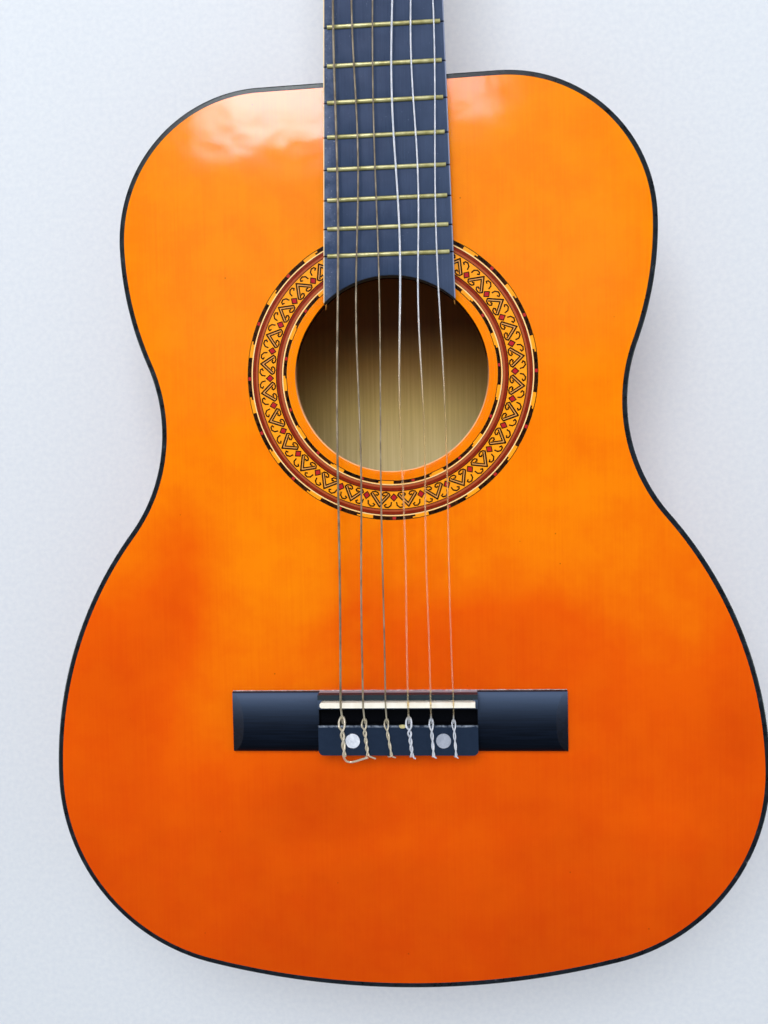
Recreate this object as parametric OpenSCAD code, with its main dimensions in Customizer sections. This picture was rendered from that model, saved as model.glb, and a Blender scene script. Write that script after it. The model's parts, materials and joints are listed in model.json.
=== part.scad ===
// Worn full-size classical guitar with slack nylon and wound strings.
// Origin: on the back's outer face, straight under the middle of the saddle.
// +Y runs up the neck along the string line, +X is the treble side, +Z is out of the soundboard.

/* [Strings and neck] */
// Vibrating length of the strings, from the saddle to the nut
scale_len = 650; // [540:5:780]
// Width of the fingerboard at the nut
nut_w = 47; // [42:0.5:56]
// Width of the fingerboard at the twelfth fret
board_w_12 = 62; // [54:0.5:72]
// Thickness of the fingerboard
board_t = 6.5; // [4:0.5:8]
// Number of frets
fret_count = 18; // [12:1:18]
// Width of a fret's crown
fret_w = 2.3; // [1.6:0.1:3]
// Distance of a fret's ends from the fingerboard's edge
fret_inset = 1.3; // [0.5:0.1:3]
// Thickness of the neck behind the nut
neck_t = 21; // [17:0.5:26]
// Thickness of the nut, along the strings
nut_t = 5; // [4:0.5:7]
// Distance between the outer strings at the nut
nut_spread = 40; // [32:0.5:41]
// Distance between the outer strings at the saddle
saddle_spread = 57.7; // [48:0.1:64]

/* [Body] */
// Depth of the body, from the back to the face of the soundboard
body_depth = 95; // [78:1:116]
// Width across the lower bout
lower_bout_w = 376; // [312:1:452]
// Width across the waist
waist_w = 243; // [202:1:262]
// Width across the upper bout
upper_bout_w = 279; // [250:1:336]
// Radius of the long curve at the tail
tail_r = 440; // [366:1:530]
// Radius of the lower bout's corners
corner_r = 105; // [88:1:126]
// Radius of the lower bout above its widest place
lower_bout_r = 210; // [180:1:252]
// Radius of the waist
waist_r = 89; // [74:1:107]
// Radius of the upper bout below its widest place
upper_bout_r = 171; // [143:1:206]
// Radius of the shoulders
shoulder_r = 78; // [65:1:94]
// Distance of the body's upper edge below the twelfth fret
joint_gap = 4; // [0:0.5:10]
// Angle by which the body sits askew of the string line
body_skew = 1.1; // [0:0.1:2]
// Thickness of the soundboard
top_t = 2.5; // [2:0.1:4]
// Thickness of the back
back_t = 3; // [2:0.1:4]
// Thickness of the sides
side_t = 2.2; // [1.8:0.1:3]
// Width of the binding
binding_w = 2.8; // [2.4:0.1:4]
// Height of the binding
binding_h = 6; // [4:0.5:9]
// Width of the linings inside the edges
lining_w = 6; // [4:0.5:9]
// Height of the linings inside the edges
lining_h = 13; // [8:1:18]

/* [Sound hole and rosette] */
// Radius of the sound hole
hole_r = 49.8; // [41:0.1:60]
// Distance from the last fret to the sound hole
hole_gap = 10.5; // [6:0.5:16]
// Plain wood between the sound hole and the rosette
rosette_gap = 3.4; // [2:0.1:8]
// Width of the rosette
rosette_w = 22.4; // [18:0.1:27]
// Depth of the rosette's channel
rosette_t = 1; // [0.6:0.1:1.4]

/* [Bridge] */
// Length of the bridge, across the body
bridge_len = 175.6; // [146:0.1:210]
// Length of the bridge's raised middle
bridge_mid_len = 82.6; // [76:0.1:99]
// Distance of the bridge's front edge ahead of the saddle line
bridge_front = 4.4; // [4:0.1:7]
// Distance of the bridge's rear edge behind the saddle line
bridge_back = 27.2; // [25:0.1:33]
// Height of the wings
wing_h = 6; // [4:0.5:8]
// Height of the bridge's raised middle
bridge_h = 9.5; // [8:0.5:12]
// Width of the saddle
saddle_w = 3.4; // [2.5:0.1:4.2]
// Length of the saddle
saddle_len = 78; // [66:1:79]
// Height of the saddle's top above the soundboard
saddle_h = 12.5; // [11:0.5:15]
// Diameter of the holes that the strings are tied through
tie_hole_d = 1.8; // [1.6:0.1:2.2]
// Diameter of the bridge's bolts
bolt_d = 4; // [3:0.1:5]
// Diameter of the dots over the bolts
dot_d = 7.7; // [7:0.1:9]
// Distance between the bolts
bolt_gap = 47; // [40:0.5:50]

/* [Head and tuning machines] */
// Angle of the head below the fingerboard's line
head_angle = 14; // [10:0.5:17]
// Length of the head
head_len = 182; // [175:1:218]
// Width of the head
head_w = 70; // [64:1:84]
// Thickness of the head
head_t = 20; // [17:0.5:24]
// Width of the head's slots
slot_w = 15; // [13:0.5:18]
// Width of the wood between the slots
slot_rib = 18; // [15:0.5:21]
// Distance between neighbouring rollers
roller_pitch = 35; // [33:0.5:42]
// Diameter of a roller
roller_d = 9.6; // [8:0.1:11.5]
// Diameter of the roller's pin in the middle rib
pin_d = 5.6; // [4.6:0.1:6.6]
// Number of teeth on a gear
gear_teeth = 14; // [12:1:16]
// Outer diameter of a gear
gear_d = 13; // [11:0.1:15.6]
// Thickness of a gear
gear_t = 4.2; // [3:0.1:5]
// Diameter of a worm
worm_d = 4.8; // [4.2:0.1:5.7]
// Diameter of a worm's shaft
shaft_d = 3.6; // [3:0.1:4]
// Thickness of a tuning machine's plate
plate_t = 1.4; // [1:0.1:2]
// Width of a tuning machine's plate
plate_w = 12; // [10:0.5:14]
// Length of a tuning button
button_len = 17; // [14:0.5:20]
// Width of a tuning button
button_w = 15; // [12:0.5:18]
// Thickness of a tuning button
button_t = 7.5; // [6:0.5:9]

/* [Hidden] */
$fn = 96;
eps = 0.01;
far = 1000;
lap = 3;
// Number of sides in which the body's long arcs are drawn
plan_fn = 240;

// Clearances of the moving pieces, and the thickness of a glue line
run_clear = 0.2;
side_clear = 0.3;
glue = 0.02;

// Places along the string line, from the saddle
function fret_y(n) = scale_len / pow(2, n / 12);
nut_y = scale_len;
top_z = body_depth;
board_z = top_z + board_t;
board_taper = (board_w_12 - nut_w) / (nut_y - fret_y(12));
function board_w(y) = nut_w + (nut_y - y) * board_taper;
hole_y = fret_y(fret_count) - hole_gap - hole_r;
rosette_in = hole_r + rosette_gap;
rosette_out = rosette_in + rosette_w;

// The body's plan is a chain of tangent arcs, given in the body's own frame: x from its middle line
skew_y = 91;
body_top = scale_len / 2 - joint_gap;
shoulder_c = [upper_bout_w / 2 - shoulder_r, body_top - shoulder_r];
upper_c = [upper_bout_w / 2 - upper_bout_r, shoulder_c.y];
waist_x = waist_w / 2 + waist_r;
waist_c = [waist_x, upper_c.y - leg(upper_bout_r + waist_r, waist_x - upper_c.x)];
lower_cx = lower_bout_w / 2 - lower_bout_r;
lower_c = [lower_cx, waist_c.y - leg(waist_r + lower_bout_r, waist_x - lower_cx)];
corner_c = [lower_bout_w / 2 - corner_r, lower_c.y];
tail_c = [0, lower_c.y + leg(tail_r - corner_r, corner_c.x)];
tail_y = tail_c.y - tail_r;
function leg(hypotenuse, side) = sqrt(hypotenuse * hypotenuse - side * side);
function heading(from, to) = atan2(to.y - from.y, to.x - from.x);

// The body's upper edge, seen along the string line
joint_y = skew_y + (body_top - skew_y) / cos(body_skew) + glue;
joint_slope = tan(body_skew);

// Blocks, bars and braces
block_w = 76;
neck_block_t = 24;
tail_block_t = 16;
bar_t = 8;
bar_h = 14;
bar_clear = 6;
strut_w = 6;
strut_h = 5.5;
strut_count = 5;
strut_fan = 7;
strut_gap = 34;
bridge_plate_t = 2.5;
bridge_plate_over = 12;
brace_w = 10;
brace_h = 16;
inner_inset = side_t + lining_w;

// Places where the binding has lost a bite: arc centre, radius and angle
NICKS = [
  [shoulder_c, shoulder_r, 44],
  [upper_c, upper_bout_r, -9],
  [corner_c, corner_r, -28],
];
nick_r = 1.9;
nick_depth = 2.2;

// Heel and neck, swept as D-shaped sections
neck_t_12 = neck_t + 2.5;
heel_len = 58;
heel_foot = 15;
heel_cap_t = 2.5;
heel_lift = 1;
heel_spread = 1.13;
neck_sides = 24;
heel_steps = 12;
neck_fullness = 0.8;

// Frets
tang_w = 0.6;
tang_h = 1.8;

// Bridge
wing_edge_h = 2.4;
wing_bevel = 3;
wing_end_bevel = 6.5;
channel_front = 3.1;
channel_back = 11.5;
channel_floor = 4;
saddle_floor = 3;
tie_hole_h = 5.6;
bolt_y = -19.6;
bolt_head_d = 7;
bolt_head_t = 2.4;
bolt_nut_d = 8;
bolt_nut_t = 3.2;
dot_t = 0.9;
bolt_clear = 0.2;

// Strings, from the bass side to the treble side
string_count = 6;
STRING_D = [1.15, 0.95, 0.8, 1.05, 0.85, 0.75];
function string_t(i) = i / (string_count - 1) - 0.5;
function saddle_x(i) = string_t(i) * saddle_spread;
function nut_x(i) = string_t(i) * nut_spread;
nut_h = board_t + 2.6;
nut_slot = 0.8;

// Head, laid out along its own face: s runs away from the nut, n stands out of the face
slot_start = 26;
first_roller = 46;
roller_n = -9;
slot_x = slot_rib / 2 + slot_w / 2;
slot_end = first_roller + 2 * roller_pitch + 26;
pin_depth = 7;
plate_over = 13;
plate_screw_d = 2.6;
screw_over = plate_over + 2.5;
// Places of a plate's screws, from the first roller
PLATE_SCREWS = [-screw_over, 0.5 * roller_pitch, 1.5 * roller_pitch, 2 * roller_pitch + screw_over];
shaft_through_d = 5;
worm_s = -(gear_d / 2 + worm_d / 2 + side_clear);
lug_t = 1.6;
lug_n = plate_w / 2 - lug_t / 2;
lug_w = 7;
thread_h = 0.8;
gear_x = head_w / 2 + plate_t + side_clear + thread_h + worm_d / 2;
shaft_end = 26;
button_grip = 5;
function roller_s(k) = first_roller + k * roller_pitch;
// Strings 1 to 3 from the bass side use the bass plate, nut end first, and 4 to 6 mirror them
function tuner_side(i) = i < 3 ? -1 : 1;
function tuner_k(i) = i < 3 ? i : string_count - 1 - i;

// ---------- the body's plan ----------

module sector(centre, radius, from, to) {
  intersection() {
    translate(centre) circle(radius, $fn = plan_fn);
    polygon([
      centre,
      centre + 2 * radius * [cos(from), sin(from)],
      centre + 2 * radius * [cos(to), sin(to)],
    ]);
  }
}

// Each arc runs a little way under the wider one that it meets, where it lies inside it
module half_plan(inset) {
  difference() {
    union() {
      sector(corner_c, corner_r - inset, heading(tail_c, corner_c) - lap, lap);
      sector(lower_c, lower_bout_r - inset, 0, heading(lower_c, waist_c) + lap);
      sector(upper_c, upper_bout_r - inset, heading(upper_c, waist_c) - lap, 0);
      sector(shoulder_c, shoulder_r - inset, -lap, 90 + lap);
      polygon([lower_c, waist_c, upper_c]);
      for (centre = [corner_c, lower_c, upper_c, shoulder_c])
        translate(centre) circle(shoulder_r / 2);
      translate([-eps, shoulder_c.y - lap]) square([shoulder_c.x + eps, shoulder_r - inset + lap]);
    }
    translate(waist_c) circle(waist_r + inset, $fn = plan_fn);
  }
}

// Outline of the body in plan, drawn in from the sides' outer face by inset
module body_plan(inset = 0) {
  tail_heading = heading(tail_c, corner_c);
  on_body() {
    sector(tail_c, tail_r - inset, -180 - tail_heading, tail_heading);
    half_plan(inset);
    mirror([1, 0]) half_plan(inset);
  }
}

// Puts a shape that is drawn along the body's middle line in its place askew of the strings
module on_body() {
  translate([0, skew_y]) rotate(body_skew) translate([0, -skew_y]) children();
}

// A band that follows the body's edge, between two insets
module edge_band(outer, inner) {
  difference() {
    body_plan(outer);
    body_plan(inner);
  }
}

module at_height(z, height) {
  translate([0, 0, z]) linear_extrude(height) children();
}

module blocks_plan() {
  over = 10;
  on_body() {
    translate([-block_w / 2, body_top - neck_block_t]) square([block_w, neck_block_t + over]);
    translate([-block_w / 2, tail_y - over]) square([block_w, tail_block_t + over]);
  }
}

// ---------- plates, sides and edges ----------

module soundboard() {
  color("darkorange") difference() {
    at_height(top_z - top_t, top_t) difference() {
      body_plan(binding_w);
      translate([0, hole_y]) circle(hole_r);
    }
    translate([0, hole_y, top_z - rosette_t]) difference() {
      cylinder(h = 2 * rosette_t, r = rosette_out);
      translate([0, 0, -eps]) cylinder(h = 2 * rosette_t + 1, r = rosette_in);
    }
    bolt_holes();
  }
}

module rosette() {
  color("goldenrod") translate([0, hole_y, top_z - rosette_t]) difference() {
    cylinder(h = rosette_t, r = rosette_out);
    translate([0, 0, -1]) cylinder(h = rosette_t + 2, r = rosette_in);
  }
}

module back_panel() {
  color("peru") at_height(0, back_t) body_plan(binding_w);
}

module side(hand) {
  color("saddlebrown") intersection() {
    at_height(binding_h, body_depth - 2 * binding_h) edge_band(0, side_t);
    at_height(0, body_depth) on_body()
      translate([hand < 0 ? -far : 0, -far]) square([far, 2 * far]);
  }
}

module side_bass() {
  side(-1);
}

module side_treble() {
  side(1);
}

// The strips that widen the glued corners between the sides and the plates
module lining(z, binding_z) {
  color("burlywood") difference() {
    at_height(z, lining_h) difference() {
      edge_band(side_t, inner_inset);
      blocks_plan();
    }
    at_height(binding_z, binding_h) edge_band(0, binding_w);
  }
}

module top_linings() {
  lining(top_z - top_t - lining_h, top_z - binding_h);
}

module back_linings() {
  lining(back_t, 0);
}

// An end block fills the space between the plates, stepped back beside the bindings
module end_block() {
  color("tan") {
    at_height(back_t, body_depth - top_t - back_t) intersection() {
      body_plan(binding_w);
      children();
    }
    at_height(binding_h, body_depth - 2 * binding_h) intersection() {
      body_plan(side_t);
      children();
    }
  }
}

module neck_block() {
  end_block() on_body() translate([-block_w / 2, body_top - neck_block_t])
    square([block_w, neck_block_t]);
}

module tail_block() {
  end_block() on_body() translate([-block_w / 2, tail_y]) square([block_w, tail_block_t]);
}

module top_binding() {
  color("black") difference() {
    at_height(top_z - binding_h, binding_h) edge_band(0, binding_w);
    translate([0, 0, top_z - nick_depth]) on_body() for (nick = NICKS)
      translate(nick[0] + nick[1] * [cos(nick[2]), sin(nick[2])])
        cylinder(h = 2 * nick_depth, r = nick_r, $fn = 32);
  }
}

module back_binding() {
  color("black") at_height(0, binding_h) edge_band(0, binding_w);
}

// ---------- bars and braces ----------

// A straight bar across the inside at a place along the string line, cut to the linings
module cross_bar(y, z, width, height) {
  color("wheat") at_height(z, height) intersection() {
    body_plan(inner_inset);
    translate([-far / 2, y - width / 2]) square([far, width]);
  }
}

top_inner_z = top_z - top_t;
lower_bar_y = hole_y - hole_r - bar_clear - bar_t / 2;
upper_bar_y = hole_y + hole_r + bar_clear + bar_t / 2;

module upper_bar() {
  cross_bar(upper_bar_y, top_inner_z - bar_h, bar_t, bar_h);
}

module lower_bar() {
  cross_bar(lower_bar_y, top_inner_z - bar_h, bar_t, bar_h);
}

module bridge_plate_space(z, height) {
  over = bridge_plate_over;
  translate([-bridge_len / 2 - over, -bridge_back - over, z])
    cube([bridge_len + 2 * over, bridge_front + bridge_back + 2 * over, height]);
}

module bridge_plate() {
  color("sienna") difference() {
    bridge_plate_space(top_inner_z - bridge_plate_t, bridge_plate_t);
    bolt_holes();
  }
}

// Struts that spread from the lower bar to the tail, notched over the bridge plate
module fan_struts() {
  start_y = lower_bar_y - bar_t / 2 - 4;
  end_y = tail_y + tail_block_t + 14;
  color("wheat") difference() {
    at_height(top_inner_z - strut_h, strut_h) intersection() {
      body_plan(inner_inset);
      for (i = [0 : strut_count - 1]) {
        place = i - (strut_count - 1) / 2;
        translate([place * strut_gap, start_y]) rotate(place * strut_fan)
          translate([-strut_w / 2, end_y - start_y]) square([strut_w, start_y - end_y]);
      }
    }
    bridge_plate_space(top_inner_z - bridge_plate_t, 2 * bridge_plate_t);
    bolt_nut_space();
  }
}

module back_braces() {
  for (y = [body_top - neck_block_t - 28, lower_bar_y - 42, tail_y + 100])
    cross_bar(y, back_t, brace_w, brace_h);
}

// ---------- neck, head and fingerboard ----------

// Neck thickness at a place along the string line, without the heel
function neck_depth(y) =
  neck_t + (nut_y - y) * (neck_t_12 - neck_t) / (nut_y - fret_y(12));
heel_depth = (body_depth - heel_lift - heel_cap_t) * heel_spread;
heel_bottom = heel_lift + heel_cap_t;
heel_y = joint_y + heel_foot;
head_root_y = nut_y + nut_t;

// Stations of the sweep: [place, depth], from the heel's foot to the head
NECK_STATIONS = concat(
  [[joint_y, heel_depth]],
  [for (i = [0 : heel_steps])
    let (t = 90 * i / heel_steps, y = heel_y + heel_len * (1 - cos(t)))
    [y, neck_depth(y) + (heel_depth - neck_depth(y)) * (1 - sin(t))]],
  [for (i = [1 : 3])
    let (y = heel_y + heel_len + (head_root_y - heel_y - heel_len) * i / 3)
    [y, neck_depth(y)]]
);
neck_last = len(NECK_STATIONS) - 1;

// Half width of a section of the given depth, at a height above the back
function section_half(y, depth, z) =
  board_w(y) / 2 * pow(cos(asin(min(1, (top_z - z) / depth))), neck_fullness);

// One point of a section: j goes round from the treble edge, under the neck, to the bass edge
function neck_point(i, j) =
  let (
    y = NECK_STATIONS[i][0],
    depth = NECK_STATIONS[i][1],
    t = 180 * j / neck_sides,
    x = board_w(y) / 2 * sign(cos(t)) * pow(abs(cos(t)), neck_fullness),
    z = max(heel_bottom, top_z - depth * sin(t)),
    lean = i == 0 ? x * joint_slope : i == neck_last ? (z - top_z) * tan(head_angle) - glue : 0
  )
  [x, y + lean, z];

module neck() {
  n = neck_sides + 1;
  points = [for (i = [0 : neck_last], j = [0 : neck_sides]) neck_point(i, j)];
  walls = [for (i = [0 : neck_last - 1], j = [0 : neck_sides])
    let (a = i * n + j, b = i * n + (j + 1) % n, c = a + n, d = b + n)
    each [[a, b, d], [a, d, c]]];
  ends = [
    [for (j = [neck_sides : -1 : 0]) j],
    [for (j = [0 : neck_sides]) neck_last * n + j],
  ];
  color("sienna") polyhedron(points, concat(walls, ends), convexity = 6);
}

// The cap takes the outline of the heel's cut end
module heel_cap() {
  foot = [for (s = NECK_STATIONS) if (s[1] > top_z - heel_bottom) s];
  treble = [for (i = [0 : len(foot) - 1])
    let (x = section_half(foot[i][0], foot[i][1], heel_bottom))
    [x, foot[i][0] + (i == 0 ? x * joint_slope : 0)]];
  bass = [for (i = [len(foot) - 1 : -1 : 0])
    let (x = -section_half(foot[i][0], foot[i][1], heel_bottom))
    [x, foot[i][0] + (i == 0 ? x * joint_slope : 0)]];
  color("black") at_height(heel_lift, heel_cap_t) polygon(concat(treble, bass));
}

// The fingerboard is cut to the curve of the sound hole
module fingerboard() {
  end_y = hole_y;
  color("darkslategray") difference() {
    at_height(top_z, board_t) difference() {
      polygon([
        [-nut_w / 2, nut_y],
        [-board_w(end_y) / 2, end_y],
        [board_w(end_y) / 2, end_y],
        [nut_w / 2, nut_y],
      ]);
      translate([0, hole_y]) circle(hole_r);
    }
    for (n = [1 : fret_count])
      translate([-far / 2, fret_y(n) - tang_w / 2, board_z - tang_h])
        cube([far, tang_w, tang_h + 1]);
  }
}

module fret(n) {
  length = board_w(fret_y(n)) - 2 * fret_inset;
  translate([-length / 2, fret_y(n), board_z]) {
    intersection() {
      rotate([0, 90, 0]) cylinder(h = length, d = fret_w, $fn = 32);
      translate([0, -fret_w, 0]) cube([length, 2 * fret_w, fret_w]);
    }
    translate([0, -tang_w / 2, -tang_h]) cube([length, tang_w, tang_h]);
  }
}

module frets() {
  color("khaki") for (n = [1 : fret_count]) fret(n);
}

module nut() {
  color("ivory") difference() {
    translate([-nut_w / 2, nut_y, top_z]) cube([nut_w, nut_t, nut_h]);
    for (i = [0 : string_count - 1])
      translate([nut_x(i), nut_y - 1, top_z + nut_h + eps])
        rotate([-90, 0, 0]) cylinder(h = nut_t + 2, d = STRING_D[i] + nut_slot, $fn = 24);
  }
}

// Puts a shape on the head: x across, y away from the nut, z out of the head's face
module on_head() {
  translate([0, head_root_y, top_z]) rotate([-head_angle, 0, 0]) children();
}

// Turns a shape drawn along +X on the treble side to the side of tuner i, at its roller
module at_tuner(i) {
  on_head() translate([0, roller_s(tuner_k(i)), roller_n])
    mirror([tuner_side(i) < 0 ? 1 : 0, 0, 0]) children();
}

module along_x(from, to, d) {
  translate([from, 0, 0]) rotate([0, 90, 0]) cylinder(h = to - from, d = d);
}

module slot_plan() {
  r = slot_w / 2;
  translate([slot_x - r, slot_start + r]) square([slot_w, slot_end - slot_start - slot_w]);
  translate([slot_x, slot_start + r]) circle(r);
  translate([slot_x, slot_end - r]) circle(r);
}

module head_plan() {
  root = nut_w / 2;
  flare = head_w / 2 - root;
  crest_r = head_w * 0.62;
  notch_r = 7;
  difference() {
    union() {
      translate([-root, 0]) square([nut_w, slot_start]);
      difference() {
        translate([-head_w / 2, flare]) square([head_w, head_len - flare]);
        for (hand = [-1, 1]) translate([hand * head_w / 2, 0]) circle(flare * 2);
      }
    }
    difference() {
      translate([-head_w, head_len - notch_r * 2]) square([2 * head_w, head_w]);
      translate([0, head_len - crest_r]) circle(crest_r);
    }
    for (hand = [-1, 1]) translate([hand * head_w / 2, head_len - notch_r * 1.6]) circle(notch_r);
  }
}

module head() {
  color("sienna") on_head() difference() {
    translate([0, 0, -head_t]) linear_extrude(head_t) difference() {
      head_plan();
      slot_plan();
      mirror([1, 0]) slot_plan();
    }
    for (hand = [0, 1], k = [0 : 2])
      translate([0, roller_s(k), roller_n]) mirror([hand, 0, 0]) {
        along_x(slot_x, head_w / 2 + 1, roller_d + 2 * run_clear);
        along_x(slot_rib / 2 - pin_depth, slot_x, pin_d + 2 * run_clear);
      }
    plate_screw_holes();
  }
}

// ---------- tuning machines ----------

module plate_screw_holes() {
  for (hand = [0, 1], s = PLATE_SCREWS)
    translate([0, first_roller + s, roller_n]) mirror([hand, 0, 0])
      along_x(head_w / 2 - 9, head_w / 2 + 5, plate_screw_d - 0.6);
}

module plate_body() {
  length = 2 * roller_pitch + 2 * plate_over;
  centre_s = first_roller + roller_pitch;
  translate([head_w / 2, centre_s, roller_n]) rotate([90, 0, 90]) linear_extrude(plate_t) {
    square([length, plate_w], center = true);
    for (end = [-1, 1]) translate([end * length / 2, 0]) circle(d = plate_w);
  }
}

// A plate carries three gears: each has a hole for its roller and two lugs for its worm
module plate() {
  lug_x = gear_x + lug_w / 2;
  difference() {
    union() {
      plate_body();
      for (k = [0 : 2], up = [-1, 1])
        translate([head_w / 2, roller_s(k) + worm_s - lug_w / 2, roller_n + up * lug_n - lug_t / 2])
          cube([lug_x - head_w / 2, lug_w, lug_t]);
    }
    for (k = [0 : 2]) translate([0, roller_s(k), roller_n]) {
      along_x(head_w / 2 - 1, head_w / 2 + plate_t + 1, shaft_through_d + 2 * run_clear);
      translate([gear_x, worm_s, -lug_n - lug_t])
        cylinder(h = 2 * (lug_n + lug_t), d = shaft_d + 2 * run_clear);
      translate([head_w / 2 + plate_t, worm_s - lug_w / 2 - 1, -lug_n + lug_t / 2])
        cube([lug_w * 2, lug_w + 2, 2 * lug_n - lug_t]);
    }
    for (s = PLATE_SCREWS) translate([0, first_roller + s, roller_n])
      along_x(head_w / 2 - 1, head_w / 2 + plate_t + 1, plate_screw_d);
  }
}

module plate_bass() {
  color("gold") on_head() mirror([1, 0, 0]) plate();
}

module plate_treble() {
  color("gold") on_head() plate();
}

module plate_screws() {
  head_d = 4.6;
  head_h = 1.2;
  length = 8;
  color("gold") on_head() for (hand = [0, 1], s = PLATE_SCREWS)
    translate([0, first_roller + s, roller_n]) mirror([hand, 0, 0]) {
      x = head_w / 2 + plate_t;
      along_x(x - length, x, plate_screw_d - 0.6);
      along_x(x, x + head_h, head_d);
    }
}

// A roller runs in its hole through the head's wall and in a blind hole in the middle rib
module roller(i) {
  inner = slot_rib / 2 + side_clear;
  outer = head_w / 2 - side_clear;
  color("whitesmoke") at_tuner(i) {
    along_x(inner, outer, roller_d);
    along_x(slot_rib / 2 - pin_depth + side_clear, inner, pin_d);
    along_x(outer, gear_x + gear_t / 2, shaft_through_d);
  }
}

module gear(i) {
  root_d = gear_d * 0.8;
  tooth = PI * gear_d / gear_teeth / 2;
  color("goldenrod") at_tuner(i) translate([gear_x - gear_t / 2, 0, 0]) rotate([90, 0, 90])
    linear_extrude(gear_t) difference() {
      union() {
        circle(d = root_d);
        for (k = [0 : gear_teeth - 1]) rotate(360 * k / gear_teeth)
          translate([0, -tooth / 2]) square([gear_d / 2, tooth]);
      }
      circle(d = shaft_through_d);
    }
}

// A worm turns in its plate's two lugs, and its button is pressed on the shaft behind the head
module worm(i) {
  gap = lug_n - lug_t / 2 - side_clear / 2;
  color("silver") at_tuner(i) translate([gear_x, worm_s, 0]) {
    translate([0, 0, -gap]) cylinder(h = 2 * gap, d = worm_d);
    translate([0, 0, -shaft_end]) cylinder(h = shaft_end + lug_n + lug_t, d = shaft_d);
  }
}

module button(i) {
  corner = 4;
  color("ivory") at_tuner(i) translate([gear_x, worm_s, -shaft_end + button_grip])
    difference() {
      rotate([90, 0, 90]) translate([0, 0, -button_t / 2]) linear_extrude(button_t) difference() {
        union() {
          translate([0, -button_len / 2 - 1]) circle(d = button_w);
          translate([-button_w / 4, -button_len / 2]) square([button_w / 2, button_len / 2]);
        }
        translate([-button_w, -button_len - corner]) square([2 * button_w, corner]);
      }
      translate([0, 0, -button_grip - eps]) cylinder(h = button_grip + 1, d = shaft_d);
    }
}

// ---------- bridge ----------

module bolt_holes() {
  for (hand = [-1, 1]) translate([hand * bolt_gap / 2, bolt_y, top_z - top_t - bridge_plate_t - 1])
    cylinder(h = top_t + bridge_plate_t + bridge_h, d = bolt_d + 2 * bolt_clear);
}

module bolt_nut_space() {
  for (hand = [-1, 1])
    translate([hand * bolt_gap / 2, bolt_y, top_inner_z - bridge_plate_t - 10])
      cylinder(h = 12, d = bolt_nut_d + 4);
}

// Slides a profile drawn in the plane across the bridge along its whole length
module bridge_profile(length) {
  translate([-length / 2, 0, top_z]) rotate([90, 0, 90]) linear_extrude(length) children();
}

module bridge() {
  front = bridge_front;
  back = -bridge_back;
  half = bridge_len / 2;
  color("black") difference() {
    union() {
      intersection() {
        bridge_profile(bridge_len) polygon([
          [front, 0], [front, wing_edge_h], [front - wing_bevel, wing_h],
          [back + wing_bevel, wing_h], [back, wing_edge_h], [back, 0],
        ]);
        translate([0, far / 2, top_z]) rotate([90, 0, 0]) linear_extrude(far) polygon([
          [-half, 0], [-half, wing_edge_h], [-half + wing_end_bevel, wing_h],
          [half - wing_end_bevel, wing_h], [half, wing_edge_h], [half, 0],
        ]);
      }
      bridge_profile(bridge_mid_len) polygon([
        [front, 0], [front, bridge_h - 1.5], [front - 1.5, bridge_h],
        [-channel_front, bridge_h], [-channel_front, channel_floor],
        [-channel_back, channel_floor], [-channel_back, bridge_h],
        [back + 1.2, bridge_h], [back, bridge_h - 1.2], [back, 0],
      ]);
    }
    translate([-bridge_mid_len / 2 - eps, -channel_back, top_z + channel_floor])
      cube([bridge_mid_len + 2 * eps, channel_back - channel_front, bridge_h]);
    translate([-saddle_len / 2, -saddle_w / 2, top_z + saddle_floor])
      cube([saddle_len, saddle_w, bridge_h]);
    for (i = [0 : string_count - 1])
      translate([saddle_x(i), -channel_back + 1, top_z + tie_hole_h])
        rotate([90, 0, 0]) cylinder(h = bridge_back, d = tie_hole_d);
    for (hand = [-1, 1]) translate([hand * bolt_gap / 2, bolt_y, top_z - 1]) {
      cylinder(h = bridge_h + 2, d = bolt_d + 2 * bolt_clear);
      translate([0, 0, bridge_h + 1 - dot_t - bolt_head_t])
        cylinder(h = dot_t + bolt_head_t + 1, d = dot_d);
    }
  }
}

module saddle() {
  r = saddle_w / 2;
  color("ivory") translate([-saddle_len / 2, 0, top_z]) {
    translate([0, -r, saddle_floor]) cube([saddle_len, saddle_w, saddle_h - saddle_floor - r]);
    translate([0, 0, saddle_h - r]) intersection() {
      rotate([0, 90, 0]) cylinder(h = saddle_len, r = r, $fn = 32);
      translate([0, -saddle_w, 0]) cube([saddle_len, 2 * saddle_w, saddle_w]);
    }
  }
}

module bridge_bolts() {
  top = top_z + bridge_h - dot_t;
  bottom = top_inner_z - bridge_plate_t;
  color("silver") for (hand = [-1, 1]) translate([hand * bolt_gap / 2, bolt_y, 0]) {
    translate([0, 0, top - bolt_head_t]) cylinder(h = bolt_head_t, d = bolt_head_d);
    translate([0, 0, bottom - bolt_nut_t - 2])
      cylinder(h = top - bottom + 2, d = bolt_d);
    translate([0, 0, bottom - bolt_nut_t]) cylinder(h = bolt_nut_t, d = bolt_nut_d, $fn = 6);
  }
}

module bridge_dots() {
  color("white") for (hand = [-1, 1])
    translate([hand * bolt_gap / 2, bolt_y, top_z + bridge_h - dot_t]) cylinder(h = dot_t, d = dot_d);
}

// ---------- strings ----------

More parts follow.
